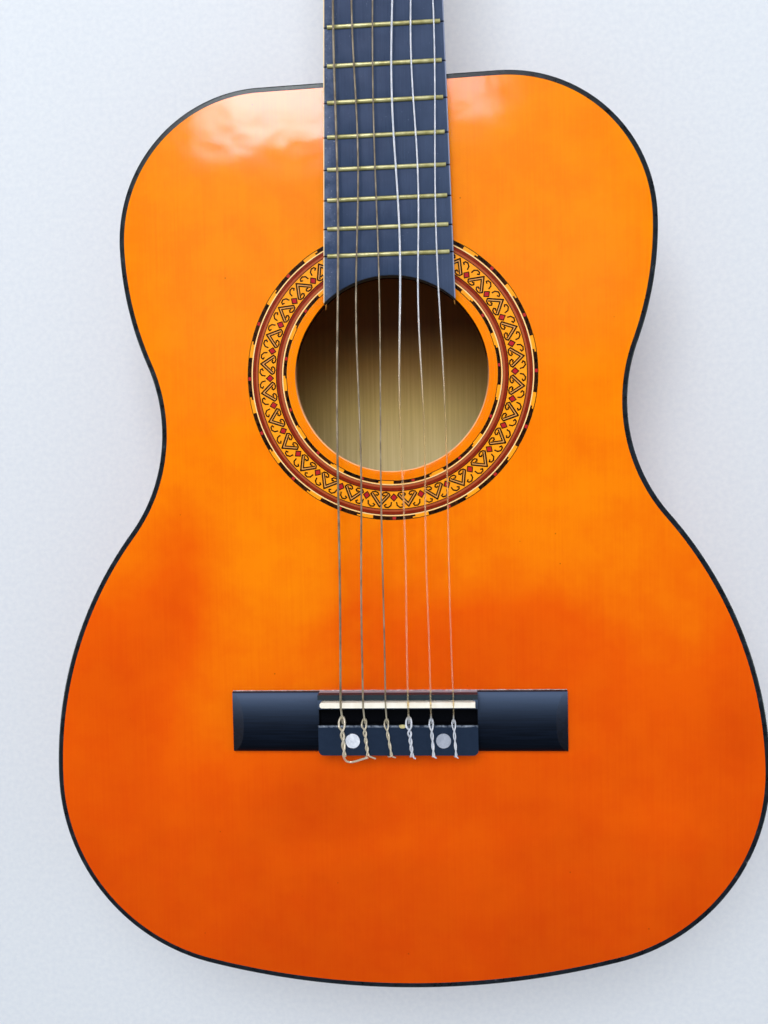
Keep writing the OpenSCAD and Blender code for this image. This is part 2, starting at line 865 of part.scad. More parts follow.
// Each string is tied on the bridge: [side step, place, height], from its loose tail to the hole's mouth
TIE = [
  [2.6, -30.8, 4.4],
  [1.9, -29.2, 8.2],
  [1.4, -27.6, 10],
  [1.1, -24, 10.5],
  [0.9, -18, 10.6],
  [1.3, -12, 10.5],
  [1.3, -8.6, 8.9],
  [0.2, -6.6, 6.8],
  [-1.1, -8, 8.9],
  [-1.4, -12, 10.6],
  [-0.9, -18, 10.9],
  [-1, -24, 10.7],
  [-0.9, -27.6, 10],
  [-0.5, -29.2, 7.8],
  [-0.2, -29, 6],
  [0, -27.8, 5.6],
  [0, -11.2, 5.6],
];
// Sideways waves of the slack strings: [reach, number of waves, phase]
SWAY = [
  [0.9, 3, 40],
  [1.2, 4, 200],
  [0.8, 3, 120],
  [1.3, 4, 300],
  [1, 5, 80],
  [1.2, 3, 240],
];
string_sag = 0.5;
free_steps = 20;
string_sides = 6;
wrap_turns = 3;

function string_index(number) = string_count - number;
function nut_string_h() = nut_h - nut_slot / 2 + 0.05;
function wrap_x(i) = tuner_side(i) * (slot_rib / 2 + 9.5 - 1.8 * tuner_k(i));
function wrap_in() = roller_d / 2 + side_clear;

// A string bends round the saddle's crown at this radius
function crown_r(i) = (saddle_w + STRING_D[i]) / 2 + 0.06;

// A point where the string bends over the saddle, at an angle back from its crown
function crown_point(i, angle) = [
  saddle_x(i),
  -crown_r(i) * sin(angle),
  top_z + saddle_h - saddle_w / 2 + crown_r(i) * cos(angle),
];

// Points of the free length, from the saddle to the nut
function free_point(i, t) =
  let (
    swell = sin(180 * t),
    start = crown_point(i, 0),
    end = [nut_x(i), nut_y, top_z + nut_string_h()],
    sway = SWAY[i][0] * swell * sin(360 * SWAY[i][1] * t + SWAY[i][2])
  )
  start + (end - start) * t + [sway, 0, -string_sag * swell];

function head_to_world(p) = [
  p.x,
  head_root_y + p.y * cos(head_angle) + p.z * sin(head_angle),
  top_z - p.y * sin(head_angle) + p.z * cos(head_angle),
];

// The string ends where its windings round the roller begin
function wrap_start(i) =
  let (
    outer = wrap_in() + STRING_D[i],
    back = sqrt(outer * outer - wrap_in() * wrap_in()) + side_clear
  )
  head_to_world([
    wrap_x(i),
    roller_s(tuner_k(i)) - back,
    roller_n + wrap_in() + STRING_D[i] / 2,
  ]);

function string_points(i) = concat(
  [for (p = TIE) [saddle_x(i) + p.x, p.y, top_z + p.z]],
  [for (angle = [34, 17]) crown_point(i, angle)],
  [for (k = [0 : free_steps]) free_point(i, k / free_steps)],
  [[nut_x(i), nut_y + nut_t, top_z + nut_string_h()], wrap_start(i)]
);

function unit(v) = v / norm(v);

// Sweeps a round section along a list of points
module sweep(path, d, sides) {
  last = len(path) - 1;
  points = [for (i = [0 : last])
    let (
      along = unit(path[min(i + 1, last)] - path[max(i - 1, 0)]),
      side = unit(cross(along, abs(along.x) > 0.9 ? [0, 1, 0] : [1, 0, 0])),
      up = cross(side, along)
    )
    each [for (j = [0 : sides - 1])
      path[i] + d / 2 * (cos(360 * j / sides) * side + sin(360 * j / sides) * up)]];
  walls = [for (i = [0 : last - 1], j = [0 : sides - 1])
    let (a = i * sides + j, b = i * sides + (j + 1) % sides, c = a + sides, e = b + sides)
    each [[a, b, e], [a, e, c]]];
  ends = [
    [for (j = [sides - 1 : -1 : 0]) j],
    [for (j = [0 : sides - 1]) last * sides + j],
  ];
  polyhedron(points, concat(walls, ends), convexity = 10);
}

module string(number) {
  i = string_index(number);
  d = STRING_D[i];
  width = wrap_turns * d;
  color(i < 3 ? "tan" : "white") {
    sweep(string_points(i), d, string_sides);
    on_head() translate([wrap_x(i) - width / 2, roller_s(tuner_k(i)), roller_n])
      rotate([0, 90, 0]) difference() {
        cylinder(h = width, r = wrap_in() + d);
        translate([0, 0, -1]) cylinder(h = width + 2, r = wrap_in());
      }
  }
}

module string_1() {
  string(1);
}

module string_2() {
  string(2);
}

module string_3() {
  string(3);
}

module string_4() {
  string(4);
}

module string_5() {
  string(5);
}

module string_6() {
  string(6);
}

module roller_1() {
  roller(string_index(1));
}

module roller_2() {
  roller(string_index(2));
}

module roller_3() {
  roller(string_index(3));
}

module roller_4() {
  roller(string_index(4));
}

module roller_5() {
  roller(string_index(5));
}

module roller_6() {
  roller(string_index(6));
}

module gear_1() {
  gear(string_index(1));
}

module gear_2() {
  gear(string_index(2));
}

module gear_3() {
  gear(string_index(3));
}

module gear_4() {
  gear(string_index(4));
}

module gear_5() {
  gear(string_index(5));
}

module gear_6() {
  gear(string_index(6));
}

module worm_1() {
  worm(string_index(1));
}

module worm_2() {
  worm(string_index(2));
}

module worm_3() {
  worm(string_index(3));
}

module worm_4() {
  worm(string_index(4));
}

module worm_5() {
  worm(string_index(5));
}

module worm_6() {
  worm(string_index(6));
}

module button_1() {
  button(string_index(1));
}

module button_2() {
  button(string_index(2));
}

module button_3() {
  button(string_index(3));
}

module button_4() {
  button(string_index(4));
}

module button_5() {
  button(string_index(5));
}

module button_6() {
  button(string_index(6));
}

soundboard();
back_panel();
side_bass();
side_treble();
top_linings();
back_linings();
neck_block();
tail_block();
top_binding();
back_binding();
rosette();
upper_bar();
lower_bar();
fan_struts();
bridge_plate();
back_braces();
neck();
heel_cap();
head();
fingerboard();
nut();
frets();
bridge();
saddle();
bridge_bolts();
bridge_dots();
string_1();
string_2();
string_3();
string_4();
string_5();
string_6();
plate_bass();
plate_treble();
plate_screws();
roller_1();
roller_2();
roller_3();
roller_4();
roller_5();
roller_6();
gear_1();
gear_2();
gear_3();
gear_4();
gear_5();
gear_6();
worm_1();
worm_2();
worm_3();
worm_4();
worm_5();
worm_6();
button_1();
button_2();
button_3();
button_4();
button_5();
button_6();
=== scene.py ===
import json
import math

import bmesh
import bpy
from mathutils import Matrix, Vector

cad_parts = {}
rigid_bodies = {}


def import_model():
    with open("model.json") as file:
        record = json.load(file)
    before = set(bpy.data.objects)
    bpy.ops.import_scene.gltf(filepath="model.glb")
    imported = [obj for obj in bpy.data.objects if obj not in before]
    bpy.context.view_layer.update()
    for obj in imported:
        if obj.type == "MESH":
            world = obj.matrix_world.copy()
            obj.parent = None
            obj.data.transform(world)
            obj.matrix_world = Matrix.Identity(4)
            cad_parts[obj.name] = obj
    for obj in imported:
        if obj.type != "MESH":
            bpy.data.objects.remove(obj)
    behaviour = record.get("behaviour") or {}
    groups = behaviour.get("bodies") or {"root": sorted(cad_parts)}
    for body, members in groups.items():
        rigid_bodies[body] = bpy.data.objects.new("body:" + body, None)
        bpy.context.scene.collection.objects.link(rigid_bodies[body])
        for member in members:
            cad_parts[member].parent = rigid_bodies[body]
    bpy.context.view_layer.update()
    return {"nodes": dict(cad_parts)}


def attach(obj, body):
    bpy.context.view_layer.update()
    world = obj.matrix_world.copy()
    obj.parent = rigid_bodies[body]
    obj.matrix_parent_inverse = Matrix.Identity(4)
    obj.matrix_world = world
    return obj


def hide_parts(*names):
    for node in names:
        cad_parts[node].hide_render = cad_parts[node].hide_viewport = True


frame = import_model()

MM = 0.001


# ---------- The studio ----------
# The guitar lies on a pale floor, and the camera looks down on the lower half of it. A broad soft
# lamp beyond the head and two weaker ones at the sides light it, but hardly show in its gloss. Four
# more only show there, as the pale patch on the upper bout, and the dim ceiling keeps the orange deep.

def colour(code):
    """An sRGB hex colour as linear red, green, blue and alpha."""
    parts = [int(code[i:i + 2], 16) / 255 for i in (1, 3, 5)]
    return [p / 12.92 if p <= 0.04045 else ((p + 0.055) / 1.055) ** 2.4 for p in parts] + [1]


def add_node(tree, kind, *values, out=0, ramp=None, numbered=None, **named):
    """Adds a node, and gives one of its outputs. Plain values or links go to its inputs in order, those
    with a capital name or in `numbered` to the input of that name or number. Others are its settings."""
    node = tree.nodes.new("ShaderNode" + kind)
    inputs = {**dict(enumerate(values)), **(numbered or {})}
    for name, value in named.items():
        if name[0].isupper():
            inputs[name] = value
        else:
            setattr(node, name, value)
    if ramp:
        stops = node.color_ramp.elements
        while len(stops) < len(ramp):
            stops.new(0.5)
        for stop, (place, code) in zip(stops, ramp):
            stop.position = place
            stop.color = colour(code)
    for name, value in inputs.items():
        if isinstance(value, bpy.types.NodeSocket):
            tree.links.new(value, node.inputs[name])
        else:
            node.inputs[name].default_value = colour(value) if isinstance(value, str) else value
    return node.outputs[out]


def new_finish(name, **sockets):
    """A new material: gives it, its node tree, its shader with plain values set, and Object places."""
    material = bpy.data.materials.new(name)
    material.use_nodes = True
    tree = material.node_tree
    shader = tree.nodes["Principled BSDF"]
    for socket, value in sockets.items():
        shader.inputs[socket.replace("_", " ")].default_value = value
    return material, tree, shader, add_node(tree, "TexCoord", out="Object")


CAMERA_PLACE = Vector((25.3, 114.2, 537.5)) * MM
CAMERA_TURN = [math.radians(a) for a in (-2.13, 3.917, -1.217)]
camera_data = bpy.data.cameras.new("camera")
camera_data.lens = 29.88
camera = bpy.data.objects.new("camera", camera_data)
camera.location = CAMERA_PLACE
camera.rotation_euler = CAMERA_TURN
bpy.context.scene.collection.objects.link(camera)
bpy.context.scene.camera = camera
bpy.context.scene.view_settings.view_transform = "Standard"

# Each lamp, in metres: name, place, where across the body it aims, width, height, watts and colour,
# and whether it shines on things and shows in gloss. The glows are the bright ceiling past the head.
LAMPS = [
    ("key_lamp", (-0.12, 0.85, 1.65), 0, 1.2, 1.0, 24, "#FFFFFF", True, False),
    ("left_lamp", (-2.3, -0.3, 0.9), 0, 1.0, 1.0, 8, "#FFFFFF", True, True),
    ("right_lamp", (2.3, -0.1, 0.9), 0, 1.0, 1.0, 8, "#FFFFFF", True, True),
    ("broad_glow", (-0.345, 1.19, 1.42), -0.345, 0.36, 0.7, 7.2, "#F0E7FF", False, True),
    ("core_glow", (-0.3, 1.085, 1.42), -0.3, 0.26, 0.45, 2.8, "#F4ECFF", False, True),
    ("weak_glow", (0.105, 1.225, 1.42), 0.105, 0.12, 0.7, 2.2, "#F0E0FF", False, True),
    ("edge_glow", (-0.53, 1.29, 1.42), -0.53, 0.12, 0.7, 1.2, "#F0E0FF", False, True),
]
for name, place, aim_x, width, height, watts, code, shines, shows in LAMPS:
    data = bpy.data.lights.new(name, "AREA")
    data.shape = "RECTANGLE"
    data.size = width
    data.size_y = height
    data.energy = watts
    data.color = colour(code)[:3]
    lamp = bpy.data.objects.new(name, data)
    lamp.location = place
    lamp.rotation_euler = (Vector((aim_x, 0.1, 0)) - Vector(place)).to_track_quat("-Z", "Y").to_euler()
    lamp.visible_camera = False
    lamp.visible_diffuse = shines
    lamp.visible_glossy = shows
    bpy.context.scene.collection.objects.link(lamp)

world = bpy.data.worlds.new("studio_world")
world.use_nodes = True
tree = world.node_tree
backdrop = add_node(tree, "Background", Color="#E0E8F2", Strength=1.0)
ceiling = add_node(tree, "Background", Color="#AEBBD2", Strength=0.07)
fill = add_node(tree, "Background", Color="#F6F8FF", Strength=0.5)
both = add_node(tree, "MixShader", add_node(tree, "LightPath", out="Is Glossy Ray"), fill, ceiling)
both = add_node(tree, "MixShader", add_node(tree, "LightPath", out="Is Camera Ray"), both, backdrop)
tree.links.new(both, tree.nodes["World Output"].inputs["Surface"])
bpy.context.scene.world = world

# Flat wall paint, rolled on: a faint speckle and no shine
floor_paint, tree, shader, at = new_finish("pale_floor_paint", Roughness=0.85)
speckle = add_node(tree, "TexNoise", Vector=at, Scale=1 / (3 * MM))
shade = add_node(tree, "ValToRGB", speckle, ramp=[(0.3, "#D5DDE5"), (0.7, "#DCE3E9")])
tree.links.new(shade, shader.inputs["Base Color"])
bpy.ops.object.select_all(action="DESELECT")
bpy.ops.mesh.primitive_plane_add(size=40, location=(0, 0.3, -0.3 * MM))
floor = bpy.context.object
floor.name = "floor"
floor.data.materials.append(floor_paint)


# ---------- Linings, bars, braces and blocks ----------
# The bare softwood pieces inside the box: glued, unfinished, dusty, and darker where light
# never reached. They keep their shapes from the frame.

def wood_grain(tree, at, across, along, turn=0):
    """Noise drawn out along Y into grain lines that are `across` mm wide and `along` mm long."""
    placed = add_node(tree, "Mapping", Vector=at, Rotation=(0, 0, turn),
                      Scale=(1 / across / MM, 1 / along / MM, 1 / across / MM))
    return add_node(tree, "TexNoise", Vector=placed, Scale=1, Detail=4, Roughness=0.6)


def lay_over(tree, shade, code, *masks, blend="MIX"):
    """Lays a colour over a shade, as far as all the masks, patterns or plain shares, let it."""
    where = masks[0]
    for mask in masks[1:]:
        where = add_node(tree, "Math", where, mask, operation="MULTIPLY")
    return add_node(tree, "Mix", where, numbered={6: shade, 7: code}, out=2, data_type="RGBA",
                    blend_type=blend)


def set_look(tree, shader, shade, relief, depth, rough=None, strength=1.0):
    """Gives a finish its colour, a relief of a depth in mm, and its roughness at both ends of the relief."""
    tree.links.new(shade, shader.inputs["Base Color"])
    if depth:
        bump = add_node(tree, "Bump", Height=relief, Distance=depth * MM, Strength=strength)
        tree.links.new(bump, shader.inputs["Normal"])
    if rough:
        tree.links.new(add_node(tree, "MapRange", relief, 0, 1, *rough), shader.inputs["Roughness"])


# Sawn softwood with no finish: pale and dull, its grain lines running across the instrument
bare_spruce, tree, shader, at = new_finish("bare_spruce", Roughness=0.8)
grain = wood_grain(tree, at, 1.2, 40, math.pi / 2)
shade = add_node(tree, "ValToRGB", grain, ramp=[(0.3, "#A88A58"), (0.7, "#CDB283")])
set_look(tree, shader, shade, grain, 0.15)


def paint_node(node, finish):
    """Gives a frame node, which keeps its shape, its finish."""
    frame["nodes"][node].data.materials.clear()
    frame["nodes"][node].data.materials.append(finish)


for node in ("top_linings", "back_linings", "neck_block", "tail_block", "upper_bar", "lower_bar",
             "fan_struts", "bridge_plate", "back_braces"):
    paint_node(node, bare_spruce)


# ---------- Back panel ----------
# One plywood sheet, lacquered orange-brown outside and left bare inside, where the sound hole
# shows its pale face, stained by dust and darkened towards the neck by painted shade.

LOWER_BOUT, WAIST, UPPER_BOUT = 376, 243, 279
TAIL_R, CORNER_R, LOWER_R, WAIST_R, UPPER_R, SHOULDER_R = 440, 105, 210, 89, 171, 78
BODY_TOP = 321
BODY_SKEW = math.radians(1.1)
SKEW_Y = 91
BINDING_W = 2.8
BINDING_H = 6
BODY_DEPTH = 95
BACK_T = 3


def leg(hypotenuse, side):
    """The other short side of a right-angled triangle."""
    return math.sqrt(hypotenuse ** 2 - side ** 2)


def heading(start, end):
    """The direction from one place to another, in radians from X."""
    return math.atan2(end[1] - start[1], end[0] - start[0])


def on_body(x, y, z=0):
    """A place in the body's own frame, in mm, which sits a little askew of the strings."""
    x, y = (x * math.cos(BODY_SKEW) - (y - SKEW_Y) * math.sin(BODY_SKEW),
            x * math.sin(BODY_SKEW) + (y - SKEW_Y) * math.cos(BODY_SKEW) + SKEW_Y)
    return Vector((x, y, z)) * MM


shoulder_c = (UPPER_BOUT / 2 - SHOULDER_R, BODY_TOP - SHOULDER_R)
upper_c = (UPPER_BOUT / 2 - UPPER_R, shoulder_c[1])
waist_x = WAIST / 2 + WAIST_R
waist_c = (waist_x, upper_c[1] - leg(UPPER_R + WAIST_R, waist_x - upper_c[0]))
lower_x = LOWER_BOUT / 2 - LOWER_R
lower_c = (lower_x, waist_c[1] - leg(WAIST_R + LOWER_R, waist_x - lower_x))
corner_c = (LOWER_BOUT / 2 - CORNER_R, lower_c[1])
tail_c = (0, lower_c[1] + leg(TAIL_R - CORNER_R, corner_c[0]))
tail_turn = heading(tail_c, corner_c)
waist_low = heading(lower_c, waist_c)
waist_high = heading(upper_c, waist_c)
# The treble half of the outline, from the tail up: arc centres and how far each arc turns
ARCS = [
    (tail_c, tail_turn + math.pi / 2),
    (corner_c, -tail_turn),
    (lower_c, waist_low),
    (waist_c, waist_high - waist_low),
    (upper_c, -waist_high),
    (shoulder_c, math.pi / 2),
]
ARC_STEPS = [36, 40, 30, 44, 24, 36]


def take_up(piece=None):
    """Leaves edit mode, with nothing selected, or only the piece, which is then the active one."""
    if bpy.context.mode == "EDIT_MESH":
        bpy.ops.object.mode_set(mode="OBJECT")
    bpy.ops.object.select_all(action="DESELECT")
    if piece:
        piece.select_set(True)
        bpy.context.view_layer.objects.active = piece


def new_point(name, place):
    """A new object of one vertex, selected in edit mode, ready to be spun or extruded."""
    take_up()
    bpy.ops.mesh.primitive_plane_add(size=MM)
    piece = bpy.context.object
    piece.name = name
    bpy.ops.object.mode_set(mode="EDIT")
    bpy.ops.mesh.select_mode(type="VERT")
    bpy.ops.mesh.merge(type="CENTER")
    bpy.ops.transform.translate(value=place)
    return piece


def extrude(step):
    """Extrudes what is selected by a vector in metres."""
    bpy.ops.mesh.extrude_region_move(TRANSFORM_OT_translate={"value": step})


def push(x=0, y=0, z=0):
    """Extrudes what is selected by a distance in mm."""
    extrude(Vector((x, y, z)) * MM)


def draw_half(z, hand):
    """Spins the selected vertex along half of the body's outline. A spin turns clockwise."""
    steps = list(zip(ARCS, ARC_STEPS))
    for (centre, turn), count in steps if hand > 0 else reversed(steps):
        bpy.ops.mesh.spin(steps=count, angle=-turn, axis=(0, 0, 1),
                          center=on_body(hand * centre[0], centre[1], z))


def join_ends():
    """Joins the outline where its two halves meet, and selects all of it."""
    bpy.ops.mesh.select_all(action="SELECT")
    bpy.ops.mesh.remove_doubles(threshold=0.02 * MM)


def draw_outline(name, inset, z):
    """A closed loop along the body's outline, drawn in by inset, in edit mode."""
    piece = new_point(name, on_body(0, tail_c[1] - TAIL_R + inset, z))
    draw_half(z, 1)
    extrude(on_body(-2 * shoulder_c[0], 0) - on_body(0, 0))
    draw_half(z, -1)
    join_ends()
    return piece


def pick(piece, kind, test):
    """Selects only the vertices, edges or faces that pass the test, in edit mode."""
    bpy.ops.object.mode_set(mode="EDIT")
    bpy.ops.mesh.select_mode(type=kind)
    bpy.ops.mesh.select_all(action="DESELECT")
    mesh = bmesh.from_edit_mesh(piece.data)
    for part in {"VERT": mesh.verts, "EDGE": mesh.edges, "FACE": mesh.faces}[kind]:
        if test(part):
            part.select_set(True)
    bmesh.update_edit_mesh(piece.data)


def finish_piece(piece, name, material, slot, *nodes, body="root", smooth=30):
    """Faces a mesh in edit mode outwards, leaves edit mode, and names, paints and fixes the piece."""
    if bpy.context.mode == "EDIT_MESH":
        bpy.ops.mesh.select_all(action="SELECT")
        bpy.ops.mesh.normals_make_consistent(inside=False)
    take_up(piece)
    bpy.ops.object.transform_apply(location=True, rotation=True, scale=True)
    bpy.ops.object.shade_smooth_by_angle(angle=math.radians(smooth))
    piece.name = name
    piece.data.name = name
    piece.data.materials.clear()
    piece.data.materials.append(material)
    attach(piece, body)
    if nodes:
        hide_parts(*nodes)


# Plywood, lacquered and polished outside. Inside it is bare, and painted shade darkens it towards the neck,
# under the top.
plywood, tree, shader, at = new_finish("lacquered_plywood", Coat_Roughness=0.12, Roughness=0.45)
axes = add_node(tree, "SeparateXYZ", at).node.outputs
grain = wood_grain(tree, at, 1.5, 90)
cloud = add_node(tree, "TexNoise", Vector=at, Scale=1 / (70 * MM), Detail=3)
outside = add_node(tree, "ValToRGB", grain, ramp=[(0.25, "#8E3A08"), (0.7, "#B4560F")])
inside = add_node(tree, "ValToRGB", grain, ramp=[(0.3, "#DCCB94"), (0.7, "#F2E4B2")])
# Painted shade under the top: the bare inside is darker towards the neck
up_the_body = add_node(tree, "MapRange", axes["Y"], 110 * MM, 230 * MM)
painted_inside_shade = add_node(tree, "ValToRGB", up_the_body, ramp=[
    (0.05, "#FFFFFF"), (0.4, "#EFE2B8"), (0.65, "#C8A468"), (0.85, "#966428")])
inside = lay_over(tree, inside, painted_inside_shade, 1.0, blend="MULTIPLY")
inside = lay_over(tree, inside, "#C4B27C", cloud, 0.4, blend="MULTIPLY")
bare_side = add_node(tree, "Math", axes["Z"], (BACK_T - 0.5) * MM, operation="GREATER_THAN")
set_look(tree, shader, lay_over(tree, outside, inside, bare_side), grain, 0.05)

back = draw_outline("back_panel_sheet", BINDING_W, 0)
bpy.ops.mesh.edge_face_add()
push(z=BACK_T)
finish_piece(back, "back_panel_sheet", plywood, "body_wood", "back_panel")


# ---------- Sides ----------
# Two thin plywood strips, bent hot to the outline and lacquered orange-brown outside. They meet
# at the tail and are glued to the blocks and linings.

SIDE_T = 2.2

# Stained plywood under a hard gloss: the grain runs round the body, in cloudy bands
lacquered_side, tree, shader, at = new_finish("lacquered_side_plywood", Specular_IOR_Level=0.2,
                                              Coat_Weight=0.8, Coat_Roughness=0.1)
placed = add_node(tree, "Mapping", Vector=at, Scale=(1 / (60 * MM), 1 / (60 * MM), 1 / (1.2 * MM)))
grain = add_node(tree, "TexNoise", Vector=placed, Scale=1, Detail=4, Roughness=0.55)
cloud = add_node(tree, "TexNoise", Vector=at, Scale=1 / (60 * MM), Detail=2)
shade = add_node(tree, "ValToRGB", grain, ramp=[(0.25, "#A84408"), (0.75, "#D46C14")])
shade = lay_over(tree, shade, "#B8560F", cloud, blend="MULTIPLY")
set_look(tree, shader, shade, grain, 0.04)


def thicken(piece, wall):
    """Gives an open sheet in edit mode a wall inwards, in mm."""
    bpy.ops.object.mode_set(mode="OBJECT")
    shell = piece.modifiers.new("wall", "SOLIDIFY")
    shell.thickness = wall * MM
    shell.offset = -1
    shell.use_even_offset = True
    bpy.ops.object.modifier_apply(modifier=shell.name)
    bpy.ops.object.mode_set(mode="EDIT")


# Half of the straight stretch of outline under the neck, towards the bass side
half_flat = on_body(-shoulder_c[0], 0) - on_body(0, 0)
for hand, node in ((-1, "side_bass"), (1, "side_treble")):
    start_y = tail_c[1] - TAIL_R if hand > 0 else BODY_TOP
    side = new_point(node, on_body(0, start_y, BINDING_H))
    if hand < 0:
        extrude(half_flat)
    draw_half(BINDING_H, hand)
    if hand > 0:
        extrude(half_flat)
    join_ends()
    push(z=BODY_DEPTH - 2 * BINDING_H)
    bpy.ops.mesh.select_all(action="SELECT")
    thicken(side, SIDE_T)
    finish_piece(side, node + "_strip", lacquered_side, "body_wood", node)


# ---------- Soundboard ----------
# Laminated spruce, sprayed with an orange lacquer that fades from amber by the neck to red-orange
# at the tail, partly its own colour and partly painted shade. The spray lies in soft clouds, and
# the clear gloss over it is a little wavy.

TOP_T = 2.5
HOLE_R = 49.8
HOLE_Y = 169.51
ROSETTE_IN, ROSETTE_OUT = 53.2, 75.6
ROSETTE_T = 1
RIM_ROUND = 0.6
hole_centre = Vector((0, HOLE_Y, BODY_DEPTH)) * MM


def step_ring(centre, old_r, new_r, z=0):
    """Extrudes the selected loop to a new radius about a centre, and by a height in mm."""
    push(z=z)
    size = new_r / old_r
    bpy.ops.transform.resize(value=(size, size, 1), center_override=centre)


def spot(tree, at, x, y, radius, stretch, turn):
    """A soft stretched spot on the soundboard, 1 in its middle: sizes in mm."""
    placed = add_node(tree, "Mapping", Vector=at, Location=(x * MM, y * MM, BODY_DEPTH * MM),
                      Rotation=(0, 0, turn), Scale=(radius * MM, radius * stretch * MM, 1),
                      vector_type="TEXTURE")
    ball = add_node(tree, "TexGradient", Vector=placed, out="Fac", gradient_type="SPHERICAL")
    return add_node(tree, "MapRange", ball, interpolation_type="SMOOTHSTEP")


# Nitrocellulose-type lacquer: its colour is sprayed in passes, and a clear coat gives the wet gloss
orange_lacquer, tree, shader, at = new_finish("orange_sprayed_lacquer", Roughness=0.5, Coat_Weight=1.0,
                                              Coat_Roughness=0.1, Specular_IOR_Level=0.0)
axes = add_node(tree, "SeparateXYZ", at).node.outputs
clouds = add_node(tree, "TexNoise", Vector=at, Scale=1 / (75 * MM), Detail=2.5, Roughness=0.45,
                  Distortion=0.6)
mist = add_node(tree, "TexNoise", Vector=at, Scale=1 / (9 * MM), Detail=3)
# Amber by the neck to red-orange at the tail: partly the lacquer's colour, partly painted shade falling off
# towards the tail
fade = add_node(tree, "MapRange", axes["Y"], -155 * MM, 325 * MM)
for noise, reach in ((clouds, 0.26), (mist, 0.08)):
    change = add_node(tree, "Math", noise, reach, -reach / 2, operation="MULTIPLY_ADD")
    fade = add_node(tree, "Math", fade, change, operation="ADD")
# Places where the gun passed twice, or missed: x, y, radius, stretch, turn and how much paler
PASSES = [
    (-62, 62, 62, 2.0, 0.06, 0.16),
    (-100, -20, 46, 1.6, -0.3, 0.12),
    (20, 20, 50, 1.0, 0.0, -0.10),
    (62, 34, 52, 0.8, 0.5, -0.13),
    (-150, 20, 52, 1.8, 0.0, -0.13),
    (-40, -52, 56, 0.7, 0.2, -0.09),
    (128, -62, 60, 0.35, -0.25, 0.12),
    (0, -78, 130, 0.12, 0.12, 0.07),
    (100, 90, 60, 1.2, 0.3, 0.10),
    (175, -10, 26, 2.2, 0.1, -0.10),
    (-113, 70, 30, 2.2, -0.28, -0.15),
    (-20, 50, 26, 1.8, 0.0, -0.08),
]
for *spot_sizes, change in PASSES:
    fade = add_node(tree, "Math", spot(tree, at, *spot_sizes), change, fade, operation="MULTIPLY_ADD")
shade = add_node(tree, "ValToRGB", fade, ramp=[
    (0.02, "#CF4A00"), (0.2, "#DE5400"), (0.34, "#E75C00"), (0.46, "#EE7100"), (0.62, "#F48300"),
    (0.85, "#F48900")])
# The wood under it took the colour unevenly, in streaks along its grain
streaks = wood_grain(tree, at, 1.3, 70)
mottle = add_node(tree, "TexNoise", Vector=at, Scale=1 / (20 * MM), Detail=5, Roughness=0.6)
mottle = add_node(tree, "Math", streaks, 0.5, mottle, operation="MULTIPLY_ADD")
shade = lay_over(tree, shade, "#F6D0B0", add_node(tree, "MapRange", mottle, 0.62, 0.9, 0, 0.42),
                 blend="MULTIPLY")
specks = add_node(tree, "TexVoronoi", Vector=at, Scale=1 / (17 * MM), Randomness=1.0, out="Distance")
shade = lay_over(tree, shade, "#7A2A00", add_node(tree, "MapRange", specks, 0.030, 0.016), 0.55)
# The cut edge of the hole is bare, and its colour is painted light: a painted highlight towards the bridge,
# and painted shade under the fingerboard
hole_at = add_node(tree, "VectorMath", at, (0, HOLE_Y * MM, BODY_DEPTH * MM), operation="SUBTRACT")
hole_at = add_node(tree, "VectorMath", hole_at, (1, 1, 0), operation="MULTIPLY")
from_axis = add_node(tree, "VectorMath", hole_at, out="Value", operation="LENGTH")
rim = add_node(tree, "MapRange", axes["Y"], (HOLE_Y + 30) * MM, (HOLE_Y + 36) * MM,
               (HOLE_R + RIM_ROUND) * MM, (HOLE_R + 0.9) * MM)
cut_edge = add_node(tree, "Math", from_axis, rim, operation="LESS_THAN")
highlight_to_shade = add_node(tree, "MapRange", axes["Y"], (HOLE_Y - 25) * MM, (HOLE_Y + 10) * MM)
shade = lay_over(tree, shade, lay_over(tree, "#F2B27C", "#241004", highlight_to_shade), cut_edge)
tree.links.new(add_node(tree, "Math", 1.0, cut_edge, operation="SUBTRACT"), shader.inputs["Coat Weight"])
# Slow waves and a fine orange peel
waves = add_node(tree, "TexNoise", Vector=at, Scale=1 / (38 * MM), Detail=2.5)
peel = add_node(tree, "TexNoise", Vector=at, Scale=1 / (2.5 * MM), Detail=1)
peel = add_node(tree, "Math", peel, 0.05, operation="MULTIPLY")
surface = add_node(tree, "Math", waves, 9.0, peel, operation="MULTIPLY_ADD")
set_look(tree, shader, shade, surface, 0.05)
tree.links.new(shader.inputs["Normal"].links[0].from_socket, shader.inputs["Coat Normal"])

top = draw_outline("soundboard_plate", BINDING_W, BODY_DEPTH)
bpy.ops.mesh.primitive_circle_add(vertices=192, radius=ROSETTE_OUT * MM, location=hole_centre)
bpy.ops.mesh.select_all(action="SELECT")
bpy.ops.mesh.fill(use_beauty=True)


def from_hole(part):
    """Distance of a part's furthest corner from the hole's axis, in mm."""
    return max(math.hypot(v.co.x, v.co.y - hole_centre.y) for v in part.verts) / MM


pick(top, "EDGE", lambda e: abs(from_hole(e) - ROSETTE_OUT) < 0.05)
